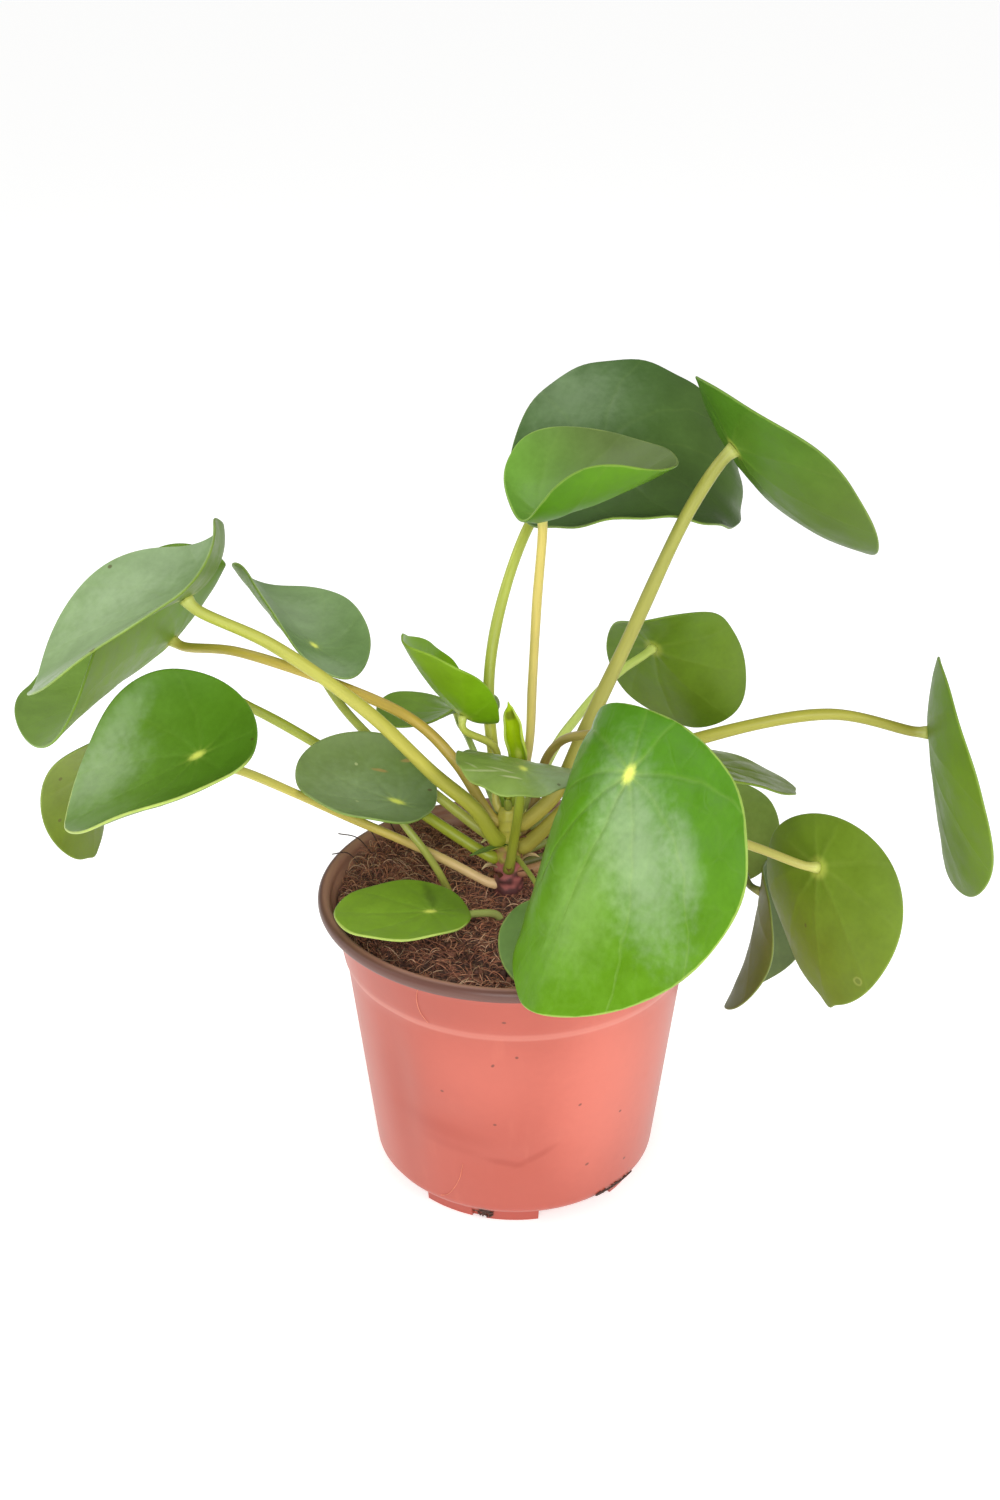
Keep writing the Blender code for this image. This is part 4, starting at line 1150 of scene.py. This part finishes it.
SCALE_THICK, BUD_THICK, BRACT_THICK = 0.16, 0.7, 0.5
SHEET_ROOT = 0.3          # how deep a sheet sits in the stem
SHEET_HOLLOW = 0.55       # depth of its hollow, in half widths


def pointed_sheet(heading, height, length, width, lean, thick, root=None):
    """A pointed sheet, hollow towards the stem. It curls outwards, or is straight with a root."""
    out = Vector(facing(heading))
    side = Vector((-out.y, out.x, 0.0))
    start = Vector(facing(root)) if root else out
    base = Vector((*STEM_AXIS, height)) + start * (stem_radius(height) - SHEET_ROOT)
    loops = []
    for row in range(SHEET_ROWS):
        s = row / (SHEET_ROWS - 1)
        half = width / 2 * (1 - s ** 2.2) * (0.75 + 0.5 * s) + 0.06
        tilt = radians(lean) * (1.0 if root else 0.35 + 1.1 * s)
        spine = base + (out * sin(tilt * 0.75) + Vector((0, 0, cos(tilt * 0.75)))) * length * s
        away = out * cos(tilt) - Vector((0, 0, sin(tilt)))
        loop = []
        for face in (1, -1):
            for column in range(SHEET_COLUMNS):
                t = (column / (SHEET_COLUMNS - 1) * 2 - 1) * face
                hollow = -SHEET_HOLLOW * half * t * t
                edge = thick / 2 * (1 - abs(t) ** 4) + 0.02
                loop.append(spine + side * half * t + away * (hollow - face * edge))
        loops.append(loop)
    start = sum(loops[0], Vector()) / len(loops[0])
    end = sum(loops[-1], Vector()) / len(loops[-1])
    return [start, *(spot for loop in loops for spot in loop), end]


def add_sheets(name, entries, thick, root=None):
    """Several pointed sheets as one piece, darker towards their roots."""
    points, faces, tones = [], [], []
    loop_size = 2 * SHEET_COLUMNS
    for heading, height, length, width, lean, chip in entries:
        start = len(points)
        points += pointed_sheet(heading, height, length, width, lean, thick, root)
        faces += shifted(ring_faces(SHEET_ROWS, loop_size), start)
        rise = np.clip((np.arange(len(points) - start) - 1) // loop_size / SHEET_ROWS, 0, 1)
        tones += [tone_rows([chip])[0] * (0.6 + 0.5 * s) for s in rise]
    sheets = add_piece(name, [list(point) for point in points], faces, [STALK])
    paint(sheets, "tone", tones)
    lay_flat(sheets, [(i % loop_size / loop_size, i / 900) for i in range(len(points))])
    return sheets


print("scales:", len(SCALES), "buds:", len(BUDS), "bracts:", len(BRACT))

# %% Scales, buds and bract
add_sheets("papery_scales", SCALES, SCALE_THICK)
add_sheets("tip_buds", BUDS, BUD_THICK)
bract = add_sheets("bract", BRACT, BRACT_THICK, BRACT_ROOT)
edge = bract.data.color_attributes["tone"].data
for index in range(1, len(edge) // 2):
    if (index - 1) % SHEET_COLUMNS in (0, SHEET_COLUMNS - 1):
        edge[index].color = BRACT_EDGE
print("points of the bract:", len(edge))

# %% [markdown]
# ## Pot shape
# The pot is a sheet of plastic drawn over a mould: coral outside, brown inside, rolled over
# at the rim, with a step that keeps stacked pots apart and a ring of feet that lets water
# out. Its outline is turned round the axis. A Screw modifier would turn it too, but dents have
# to be pressed in first, so the rings are computed and each point moved. The gaps between the
# feet are then cut with one Boolean modifier, whose result is kept as a plain mesh.

# %% Pot shape
# Points of the profile are pairs of a radius and a height.
RIM_RADIUS, RIM_TOP = 60.0, 96.0
COLLAR_RADIUS, COLLAR_HEIGHT = 55.5, 91.7
STEP_RADIUS, STEP_HEIGHT, STEP_RISE = 52.0, 75.0, 1.5
BASE_RADIUS, BASE_HEIGHT = 44.5, 9.0
FLOOR_HEIGHT, RING_RADIUS, DISC_RADIUS, WALL = 4.0, 40.2, 25.5, 0.9
FOOT_HEADING, FOOT_COUNT = 254.0, 4
FOOT_GAP, FOOT_NOTCH = (14.0, 26.0, 3.9), (4.0, 4.5, 3.0)     # depth, width and height
POT_STEPS = 180
PROFILE_STEP, ROLL_STEP = 3.0, 0.5          # spacing of points on the wall and round the rim
DENTS = ((226, 45, 7, 26, 0.9), (246, 42, 11, 5, 0.55), (262, 25, 10, 5, 0.5), (273, 28, 9, 4, 0.5),
         (284, 34, 7, 3, 0.4), (300, 60, 12, 12, 0.25), (90, 40, 16, 18, 0.5), (150, 30, 10, 12, 0.5),
         (20, 34, 9, 15, 0.4))      # heading, height, half width (degrees), half height, depth


def closer(profile, step):
    """The same profile with points no further apart than step."""
    result = [profile[0]]
    for (r0, z0), (r1, z1) in zip(profile, profile[1:]):
        count = max(1, round(((r1 - r0) ** 2 + (z1 - z0) ** 2) ** 0.5 / step))
        result += [(r0 + (r1 - r0) * i / count, z0 + (z1 - z0) * i / count)
                   for i in range(1, count + 1)]
    return result


def dent(heading, height):
    """How far the wall is pressed in at a spot."""
    depth = 0.0
    for middle, level, wide, tall, deep in DENTS:
        turn = (heading - middle + 180) % 360 - 180
        depth += deep * np.exp(-(turn / wide) ** 2 - ((height - level) / tall) ** 2)
    return depth


top, wall = FLOOR_HEIGHT + 1.0, BASE_RADIUS - WALL
disc, ring, hollow = DISC_RADIUS, RING_RADIUS, RING_RADIUS - 3.4
inside = [(0.5, 1.0), (disc - 0.5, 1.0), (disc - 0.2, top - 0.6), (disc + 0.7, top),
          (hollow - 0.4, top), (hollow + 0.6, top - 0.4), (hollow + 1.0, 1.0),
          (ring - 1.0, 1.0), (ring - 0.7, top - 0.2), (ring + 0.4, top + 0.9),
          (wall - 1.1, 6.9), (wall - 0.2, 8.0), (wall, BASE_HEIGHT + 0.2),
          (STEP_RADIUS - WALL, STEP_HEIGHT - 0.1), (STEP_RADIUS, STEP_HEIGHT + STEP_RISE),
          (COLLAR_RADIUS - WALL, COLLAR_HEIGHT)]
roll_guides = [Vector((r, 0, z)) for r, z in (
    (COLLAR_RADIUS - WALL, COLLAR_HEIGHT), (56.0, 93.2), (56.3, 94.6), (57.1, 95.7), (58.2, RIM_TOP),
    (59.3, 95.6), (RIM_RADIUS, 94.6), (RIM_RADIUS, 93.2), (59.4, 92.2), (58.4, COLLAR_HEIGHT),
    (56.6, 91.5))]
roll = [(spot.x, spot.z) for spot in smooth_route(roll_guides, ROLL_STEP)][1:]
outside = [(COLLAR_RADIUS, COLLAR_HEIGHT - 1.1), (STEP_RADIUS + WALL, STEP_HEIGHT + 1.2),
           (STEP_RADIUS + 0.3, STEP_HEIGHT + 0.2), (STEP_RADIUS, STEP_HEIGHT - 0.7),
           (BASE_RADIUS, BASE_HEIGHT), (44.3, 7.6), (43.2, 6.0), (ring + 1.0, 5.0),
           (ring + 0.3, 4.2), (ring, 0.5), (ring - 0.5, 0), (hollow + 0.5, 0), (hollow, 0.5),
           (hollow - 0.3, FLOOR_HEIGHT - 0.6), (hollow - 0.8, FLOOR_HEIGHT),
           (disc + 2.0, FLOOR_HEIGHT), (disc + 1.0, FLOOR_HEIGHT - 0.6), (disc + 0.5, 0.5),
           (disc, 0), (0.5, 0)]
brown_profile = closer(inside, PROFILE_STEP) + roll
pot_profile = brown_profile + closer(outside, PROFILE_STEP)
print("rings in the pot:", len(pot_profile), "brown:", len(brown_profile))

# %% [markdown]
# ## Pot finish
# Formed plastic is smooth with a soft gloss. Handling leaves fine scuffs that show as paler
# streaks. A pale line along the step is a painted highlight, and the foot is painted darker
# towards the bottom as painted shade. The brown inside comes out over the rim, painted darker
# round its outer roll as painted shade. Both finishes share the mottle and speck effects. Single
# marks are patches on the wall rolled out flat: painted light at the front and right, painted
# shade at the left, specks, darker streaks along the crease, and soil dried on at the foot.
# An image could hold such marks, but patches can be moved one at a time.

# %% Pot finish
WALL_REACH = 48.0         # millimetres along the rolled-out wall for each radian
WALL_RAGGED = 0.2         # smooth plastic leaves the edges of its marks clean
CORAL_CHIP, SCUFF_CHIP, ROLL_SHADE_CHIP = (176, 82, 66), (194, 106, 88), (100, 64, 54)
STEP_HIGHLIGHT_CHIP, SPECK_CHIP, FOOT_SHADE_CHIP = (222, 144, 126), (104, 54, 40), (176, 70, 52)
PAINTED_LIGHT_CHIP, PAINTED_SHADE_CHIP, CREASE_STREAK_CHIP = (212, 112, 94), (150, 68, 54), (158, 62, 46)
BROWN_CHIP, BROWN_SCUFF_CHIP = (164, 118, 100), (178, 132, 114)
FOOT_SHADE = (4.0, 10.0, 0.8)                # heights between which it fades, and strength
ROLL_SHADE_RADII = (57.8, 59.4)                   # where the brown turns to the tone of the outer roll
STEP_HIGHLIGHT = 0.45

# Marks and specks start with the way round from the front, to the right, and the height.
WALL_SPECKS = ((-3.2, 82.0, 1.1, 0.8, 0), (0.1, 68.4, 0.9, 0.9, 0), (-6.4, 65.0, 1.2, 0.8, 60),
               (-21.8, 51.8, 1.0, 0.8, 0), (19.0, 47.4, 1.1, 0.8, 30), (-6.2, 42.2, 1.0, 0.8, 0),
               (23.4, 22.2, 1.3, 0.9, 20), (40.0, 16.5, 1.2, 0.9, 0), (34.3, 38.5, 1.0, 0.8, 0))
WALL_MARKS = (
    # The brighter washes at the front and right are painted light, and the duller ones at the left
    # painted shade.
    wash(28.0, 52.0, 30, 60, 0.8, PAINTED_LIGHT_CHIP), wash(50.0, 50.0, 24, 70, 0.5, PAINTED_LIGHT_CHIP),
    wash(-8.0, 60.0, 30, 26, 0.35, PAINTED_LIGHT_CHIP),
    wash(-30.0, 84.0, 36, 12, 0.3, PAINTED_SHADE_CHIP, softness=0.6), wash(-38.0, 40.0, 16, 60, 0.3, PAINTED_SHADE_CHIP),
    *(fleck(*speck[:4], 0.8, SPECK_CHIP, speck[4]) for speck in WALL_SPECKS),
    # Darker streaks follow the crease of the dents.
    wash(-25.0, 36.5, 26, 6.0, 0.4, CREASE_STREAK_CHIP, 174), wash(-22.0, 31.0, 18, 3.0, 0.3, CREASE_STREAK_CHIP, 172),
    wash(-3.6, 26.8, 11, 2.4, 0.5, CREASE_STREAK_CHIP, 170, 0.6),
    wash(5.9, 29.0, 13, 2.2, 0.45, CREASE_STREAK_CHIP, 32, 0.6),
    wash(-11.0, 3.6, 5, 6, 0.95, SPECK_CHIP, softness=0.5),
    wash(38.0, 6.6, 20, 3.6, 0.9, SPECK_CHIP, softness=0.6),
)


def plastic_finish(name, chip, scuff_chip, roughness, wall_marks=()):
    """One side of the pot's plastic. Wall marks are given for the outside only."""
    mat, w, shader = start_finish(name, roughness)
    place = w.place()
    x, y, height = w.split(place)
    around = w.math("ARCTAN2", x, w.times(y, -1.0))
    rolled_out = w.join(w.times(around, WALL_REACH), height)
    cloud = w.use(MOTTLE, Place=place, Cloud=26.0, Grain=3.0, Depth=0.03)
    dots = w.use(SPECKS, Place=place, Apart=15.0, Radius=0.35, Share=0.25)["Mask"]
    stretched = w.vector("MULTIPLY", place, (1.0, 1.0, 0.25))
    scuff = w.fade(w.noise(stretched, 5.0, 5.0), 0.55, 0.85, 0.0, 0.3)
    colour = w.mix(scuff, tone(*chip), tone(*scuff_chip))
    if wall_marks:
        # A pale line along the step is a painted highlight, where the step faces up to the light.
        step_top = STEP_HEIGHT + STEP_RISE
        step = w.times(w.fade(height, STEP_HEIGHT - 0.9, STEP_HEIGHT),
                       w.fade(height, step_top, step_top + 1.2, 0.6, 0.0))
        # The foot is painted darker towards the bottom: painted shade in its recess.
        foot = w.fade(height, *FOOT_SHADE, 0.0)
        colour = w.mix(foot, colour, tone(*FOOT_SHADE_CHIP))
        colour = add_patches(w, rolled_out, colour, wall_marks, WALL_RAGGED)
        colour = w.tint(colour, step, STEP_HIGHLIGHT, STEP_HIGHLIGHT_CHIP)
    else:
        # The brown is painted lighter against the shade inside the pot, and its outer roll darker:
        # painted light and painted shade.
        outer = w.fade(w.vector("LENGTH", w.join(x, y)), *ROLL_SHADE_RADII)
        colour = w.mix(outer, colour, tone(*ROLL_SHADE_CHIP))
    colour = w.tint(colour, dots, 0.75, SPECK_CHIP)
    w.feed(shader["Base Color"], w.scale(colour, cloud["Tone"]))
    w.feed(shader["Roughness"], w.plus(w.times(scuff, 0.25), roughness))
    w.bump(shader, cloud["Height"], 0.1, 0.08)
    return mat


CORAL = plastic_finish("coral plastic", CORAL_CHIP, SCUFF_CHIP, 0.36, WALL_MARKS)
BROWN = plastic_finish("brown plastic", BROWN_CHIP, BROWN_SCUFF_CHIP, 0.4)
print("plastics:", CORAL.name, BROWN.name, "marks on the wall:", len(WALL_MARKS))

# %% [markdown]
# ## Pot mesh
# The dents of a thin pot come from handling, so both skins of the wall move in together, and
# the stiff foot and rim keep their form. The two plastics are shared out by ring. The gaps
# between the feet and a notch in each foot are boxes, all cut out at once.

# %% Pot mesh
DENT_START, DENT_RISE = BASE_HEIGHT - 2, 6            # dents begin above the foot and fade in
FOOT_MIDDLE = RING_RADIUS + 0.5


def pot_points():
    """The turned profile with its dents, from the middle of the floor to the middle below."""
    points = [(0.0, 0.0, 1.0)]
    for radius, height in pot_profile:
        for k in range(POT_STEPS):
            heading = 360.0 * k / POT_STEPS
            out = radius
            if DENT_START < height < COLLAR_HEIGHT and radius > RING_RADIUS:
                out -= dent(heading, height) * min(1.0, (height - DENT_START) / DENT_RISE)
            points.append((out * cos(radians(heading)), out * sin(radians(heading)), height))
    return points + [(0.0, 0.0, 0.0)]


def foot_cutter():
    """All the boxes that divide the standing ring into feet, as one object."""
    form = bmesh.new()
    for i in range(FOOT_COUNT):
        for size, turn in ((FOOT_GAP, 180.0 / FOOT_COUNT), (FOOT_NOTCH, 0.0)):
            deep, wide, high = size
            box = bmesh.ops.create_cube(form, size=1.0)["verts"]
            bmesh.ops.scale(form, vec=Vector((deep, wide, 2 * high)) * MM, verts=box)
            bmesh.ops.translate(form, vec=Vector((FOOT_MIDDLE, 0, 0)) * MM, verts=box)
            spin = radians(FOOT_HEADING + i * 360.0 / FOOT_COUNT + turn)
            bmesh.ops.rotate(form, cent=(0, 0, 0), verts=box, matrix=Matrix.Rotation(spin, 3, "Z"))
    mesh = bpy.data.meshes.new("foot cutter")
    form.to_mesh(mesh)
    form.free()
    cutter = bpy.data.objects.new("foot cutter", mesh)
    scene.collection.objects.link(cutter)
    return cutter


pot = add_piece("pot_shell", pot_points(), ring_faces(len(pot_profile), POT_STEPS),
                [CORAL, BROWN], "pot")
first_points = np.array([min(face.vertices) for face in pot.data.polygons])
brown = first_points <= len(brown_profile) * POT_STEPS
pot.data.polygons.foreach_set("material_index", brown.astype(int))
cutter = foot_cutter()
boolean = pot.modifiers.new("feet", "BOOLEAN")
boolean.operation = "DIFFERENCE"
boolean.solver = "EXACT"
boolean.object = cutter
depsgraph = bpy.context.evaluated_depsgraph_get()
cut_mesh = bpy.data.meshes.new_from_object(pot.evaluated_get(depsgraph), depsgraph=depsgraph)
pot.modifiers.clear()
pot.data = cut_mesh
bpy.data.objects.remove(cutter)
print("pot faces:", len(pot.data.polygons))

# %% [markdown]
# ## Soil
# Potting soil here is coir and peat: a dark crumbly bed in which everything else lies. It
# fills the pot down to its floor and is heaped against the wall at the left. A bump map alone
# would leave its surface flat at the edge, so the bed is a fine mesh with two sizes of lumps.

# %% Soil bed
SOIL_TOP = 87.0
SOIL_SPOKES, SOIL_ROWS = 200, 64
SOIL_RADIUS = 53.2        # where the level soil meets the wall
SOIL_SAG = 1.3            # how much lower it lies there than in the middle
HEAP_HEIGHT, HEAP_HEADING, HEAP_START, HEAP_END = 6.0, radians(160), 20.0, 48.0
HEAP_WALL = 53.0          # radius at which the height of the heap's edge is taken
WALL_SLOPE = 0.17         # how much wider the pot gets for each millimetre upwards
LUMPS = ((0.75, 3.1, 0), (0.45, 1.2, 9))    # height, size, and level of the noise
SOIL_SIDES = ((53.0, 84.0), (STEP_RADIUS - 1.2, 76.4), (STEP_RADIUS - WALL - 1.6, 75.0),
              (BASE_RADIUS - WALL - 1.6, 9.4), (40.0, 6.4), (39.0, 5.4), (26.3, 5.4),
              (24.8, 4.6), (24.5, 1.4))     # radius and height, inside the pot


def soil_heap(x, y):
    """The soil is heaped against the wall at the left."""
    away = x * cos(HEAP_HEADING) + y * sin(HEAP_HEADING)
    share = np.clip((away - HEAP_START) / (HEAP_END - HEAP_START), 0, 1)
    return HEAP_HEIGHT * share ** 2 * (3 - 2 * share)


def soil_reach(heading):
    """Inner radius of the pot at the height of the soil's edge."""
    return SOIL_RADIUS + WALL_SLOPE * soil_heap(HEAP_WALL * np.cos(heading),
                                                HEAP_WALL * np.sin(heading))


def soil_height(x, y):
    """Height of the soil's surface without its small lumps."""
    waves = 0.9 * np.sin(x / 7 + 0.6) * np.cos(y / 9) + 0.6 * np.sin((x + y) / 5.2)
    return SOIL_TOP - SOIL_SAG * (np.hypot(x, y) / SOIL_RADIUS) ** 2 + waves + soil_heap(x, y)


turns = [2 * pi * k / SOIL_SPOKES for k in range(SOIL_SPOKES)]
bed = [(0.0, 0.0, float(soil_height(0.0, 0.0)))]
for row in range(1, SOIL_ROWS + 1):
    for angle in turns:
        x = soil_reach(angle) * row / SOIL_ROWS * cos(angle)
        y = soil_reach(angle) * row / SOIL_ROWS * sin(angle)
        rough = sum(high * noise.noise(Vector((x, y, level)) / size) for high, size, level in LUMPS)
        bed.append((x, y, float(soil_height(x, y)) + rough))
bed += [(r * cos(angle), r * sin(angle), z) for r, z in SOIL_SIDES for angle in turns]
bed.append((0.0, 0.0, SOIL_SIDES[-1][1]))

soil_finish, w, shader = start_finish("potting soil", 0.95)
cloud = w.use(MOTTLE, Place=w.place(), Cloud=5.0, Grain=0.8, Depth=0.5)
# The bed's tones are painted paler than the soil, as painted light in the shade of the leaves.
colour = w.mix(w.fade(w.noise(w.place(), 1.3, 4.0), 0.45, 0.7), tone(94, 70, 62), tone(170, 126, 102))
w.feed(shader["Base Color"], w.scale(colour, cloud["Tone"]))
w.bump(shader, cloud["Height"], 0.9, 0.6)
add_piece("soil_bed", bed, ring_faces(SOIL_ROWS + len(SOIL_SIDES), SOIL_SPOKES), [soil_finish],
          "soil")
print("soil points:", len(bed))

# %% [markdown]
# ## Coir fibres and crumbs
# Thousands of curly reddish-brown fibres lie on the bed, with crumbs of peat between them.
# Scattering copies with a particle system would repeat one fibre, so every fibre is its own
# thin curled rod with three sides. Arrays build them all at once, and a seeded generator
# gives the same soil on every run. The heap at the left has longer and looser fibres, and
# crumbs are small crushed balls.

# %% Coir finish
# These chips are painted paler than the coir, as painted light in the shade of the leaves.
COIR_CHIPS = ((190, 126, 96), (208, 150, 118), (150, 98, 78), (216, 174, 142), (170, 112, 88),
              (114, 78, 66))
CRUMB_CHIPS = (2, 4, 5)   # which of them the crumbs use

COIR, w, shader = start_finish("coir", 0.85)
cloud = w.use(MOTTLE, Place=w.place(), Cloud=3.0, Grain=0.5, Depth=0.3)
w.feed(shader["Base Color"], w.scale(w.painted("tone"), cloud["Tone"]))
w.bump(shader, cloud["Height"], 0.5, 0.2)
print("finish:", COIR.name)

# %% Coir fibres
FIBRES, HEAP_FIBRES = 3900, 1300
FIBRE_POINTS = 8
FIBRE_REACH = 51.5        # radius within which the middles of fibres lie
FIBRE_RADII = (0.07, 0.2)
FIBRE_CURL = 0.16         # radians of bend in each millimetre, as a typical value
FIBRE_BED = 0.35          # height of a fibre's ends above the soil
WALL_ROOM = 0.6           # fibres keep this far from the pot's wall
chance = np.random.default_rng(20)
coir_tones = tone_rows(COIR_CHIPS)


def bent_rods(lines, radius):
    """Three-sided rods along many lines at once: lines has one row of points for each."""
    count, length, _ = lines.shape
    ahead = np.gradient(lines, axis=1)
    ahead /= np.linalg.norm(ahead, axis=2, keepdims=True)
    side = np.cross(ahead, (0.05, 0.03, 1.0))
    side /= np.linalg.norm(side, axis=2, keepdims=True)
    up = np.cross(side, ahead)
    taper = (1 - 0.75 * np.abs(np.linspace(-1, 1, length)) ** 3)[None, :] * radius[:, None]
    turn = np.arange(3) * 2 * pi / 3
    points = (lines[:, :, None] + taper[..., None, None] * (np.cos(turn)[:, None] * side[:, :, None]
                                                           - np.sin(turn)[:, None] * up[:, :, None]))
    closed = np.concatenate((lines[:, :1], points.reshape(count, -1, 3), lines[:, -1:]), axis=1)
    size = closed.shape[1]
    pattern = ring_faces(length, 3)
    faces = [face for i in range(count) for face in shifted(pattern, i * size)]
    return closed.reshape(-1, 3), faces, size


def add_fibres(name, count, inner, headings, lengths, lift, light):
    """Many curled fibres on the soil, from an inner radius to the wall, between two headings.
    The lift says how high they arch, and light how much paler or darker than their chips they
    are; the bed's fibres are painted paler against the shade of the leaves."""
    away = np.sqrt(inner ** 2 + (FIBRE_REACH ** 2 - inner ** 2) * chance.random(count))[:, None]
    angle = np.radians(chance.uniform(*headings, count))[:, None]
    length = chance.uniform(*lengths, count)[:, None]
    heading = chance.random(count)[:, None] * 2 * pi
    curl = chance.normal(0, FIBRE_CURL, count)[:, None]
    steps = np.linspace(-0.5, 0.5, FIBRE_POINTS)
    way = heading + curl * length * steps
    lines = np.zeros((count, FIBRE_POINTS, 3))
    lines[..., 0] = away * np.cos(angle) + np.cumsum(np.cos(way), axis=1) * length / FIBRE_POINTS
    lines[..., 1] = away * np.sin(angle) + np.cumsum(np.sin(way), axis=1) * length / FIBRE_POINTS
    reach = np.hypot(lines[..., 0], lines[..., 1])
    limit = soil_reach(np.arctan2(lines[..., 1], lines[..., 0])) - WALL_ROOM
    lines[..., :2] *= np.minimum(1, limit / np.maximum(reach, 1))[..., None]
    arch = chance.uniform(0.0, lift, count)[:, None] * (1 - 4 * steps ** 2)
    tilt = chance.normal(0, 0.45 * lift, count)[:, None] * steps
    lines[..., 2] = soil_height(lines[..., 0], lines[..., 1]) + FIBRE_BED + arch + tilt
    points, faces, size = bent_rods(lines, chance.uniform(*FIBRE_RADII, count))
    fibres = add_piece(name, points, faces, [COIR])
    picked = coir_tones[chance.integers(0, len(coir_tones), count)]
    shade = picked * chance.uniform(0.75, 1.2, (count, 1)) * light
    paint(fibres, "tone", np.repeat(shade, size, axis=0))


add_fibres("coir_fibres", FIBRES, 0.0, (0, 360), (3, 11), 1.6, 1.3)
add_fibres("heap_fibres", HEAP_FIBRES, 34.0, (110, 215), (5, 14), 4.5, 0.8)
print("fibres:", FIBRES, "on the bed and", HEAP_FIBRES, "on the heap")

# %% Crumbs
CRUMBS = 1500
CRUMB_REACH = 52.0
CRUMB_SIZES = (0.35, 1.3)

ball = bmesh.new()
bmesh.ops.create_icosphere(ball, subdivisions=1, radius=1.0)
ball_points = np.array([list(vertex.co) for vertex in ball.verts])
ball_faces = [tuple(vertex.index for vertex in face.verts) for face in ball.faces]
ball.free()
reach = CRUMB_REACH * np.sqrt(chance.random(CRUMBS))
angle = chance.random(CRUMBS) * 2 * pi
x, y = reach * np.cos(angle), reach * np.sin(angle)
size = chance.uniform(*CRUMB_SIZES, CRUMBS) ** 1.3
spots = np.stack((x, y, soil_height(x, y) + 0.25 + size * 0.3), -1)
stretch = chance.uniform(0.6, 1.3, (CRUMBS, 1, 3)) * size[:, None, None]
dented = ball_points[None] * chance.uniform(0.7, 1.15, (CRUMBS, len(ball_points), 1)) * stretch
crumb_points = (dented + spots[:, None]).reshape(-1, 3)
crumb_faces = [face for i in range(CRUMBS) for face in shifted(ball_faces, i * len(ball_points))]
crumbs = add_piece("soil_crumbs", crumb_points, crumb_faces, [COIR])
shade = coir_tones[chance.choice(CRUMB_CHIPS, CRUMBS)] * chance.uniform(0.35, 1.0, (CRUMBS, 1))
paint(crumbs, "tone", np.repeat(shade, len(ball_points), axis=0))
print("crumbs:", CRUMBS)

# %% [markdown]
# ## Stray fibres and dried soil
# A few fibres hang over the rim, fine hairs cling to the wall outside, and soil has dried on
# at the foot of the pot. Where a stray lies is part of how the pot looks, so each of the
# large ones follows its own route. The dried soil is made of many short thick fibres round
# two places. The wall's outline is needed again for this, as heights with their radii.

# %% Stray fibres
WALL_LINE = ((0.0, 40.2), (4.2, 40.5), (5.0, 41.4), (6.0, 43.3), (7.6, 44.4), (9.0, 44.6),
             (75.0, 52.1), (76.5, 53.1), (90.6, 55.6), (91.6, 58.0), (93.2, 60.1), (94.6, 60.1),
             (95.8, 58.4))
WALL_GAP = 0.1            # how far off the wall a fibre's middle lies
STRAY_SIDES = 5
CLODS = ((38.0, 6.6, 9.0, 1.2, 60),         # way round from the front, height, half width,
         (-11.0, 3.2, 2.6, 1.6, 24))        # half height and number of fibres
WALL_HAIRS = (((-22.9, 95.8), (-25.0, 90.6), (-26.2, 85.3), (-25.6, 80.4), (-23.6, 77.3)),
              ((-16.7, 24.5), (-18.5, 17.4), (-23.0, 10.0), (-25.8, 8.6)))
OVER_RIM = (((-45, 24, 93), (-50, 25.5, 98.4), (-55.8, 24.5, 100.4)),
            ((-43, 30, 92), (-47, 33, 97.8), (-51.6, 35, 98.6)),
            ((-48, 16, 93), (-52.5, 17, 97.6), (-57, 15, 98.2)),
            ((-37, 38, 90), (-41, 41, 97.2), (-42, 46, 98.4)))
HAIR_RADIUS, HAIR_CHIP = 0.07, (226, 142, 110)
RIM_FIBRE_RADIUS, RIM_FIBRE_CHIP = 0.2, (74, 54, 46)
CLOD_RADIUS, CLOD_CHIP, CLOD_RUN = 0.28, (78, 56, 48), (1.1, 0.6)


def wall_spot(right, height):
    """A point on the outside of the pot, from the way round from the front and the height."""
    heights, radii = zip(*WALL_LINE)
    radius = float(np.interp(height, heights, radii)) + WALL_GAP
    around = right / WALL_REACH
    return Vector((radius * sin(around), -radius * cos(around), height))


strays = [(smooth_route([wall_spot(*spot) for spot in hair], 1.5), HAIR_RADIUS, HAIR_CHIP)
          for hair in WALL_HAIRS]
strays += [(smooth_route([Vector(spot) for spot in fibre], 1.0), RIM_FIBRE_RADIUS, RIM_FIBRE_CHIP)
           for fibre in OVER_RIM]
for right, level, wide, tall, number in CLODS:
    for across, rise, run, climb in chance.uniform(-1, 1, (number, 4)):
        first = np.array((right + wide * across, level + tall * rise))
        step = np.array((CLOD_RUN[0] * run, CLOD_RUN[1] * climb))
        route = [wall_spot(*(first + step * i)) for i in (-1, 0, 1)]
        strays.append((smooth_route(route, 0.6), CLOD_RADIUS, CLOD_CHIP))

points, faces, tones = [], [], []
for route, radius, chip in strays:
    faces += shifted(ring_faces(len(route), STRAY_SIDES), len(points))
    points += tube(route, [radius] * len(route), STRAY_SIDES).tolist()
    tones += [tone(*chip)[:3]] * (STRAY_SIDES * len(route) + 2)
stray_fibres = add_piece("stray_fibres", points, faces, [COIR])
paint(stray_fibres, "tone", tones)
print("stray fibres:", len(strays))

# %% Finish
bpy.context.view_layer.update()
triangles = 0
for item in scene.objects:
    if item.type == "MESH" and not item.hide_render:
        triangles += sum(len(face.vertices) - 2 for face in item.data.polygons)
print("triangles:", triangles)
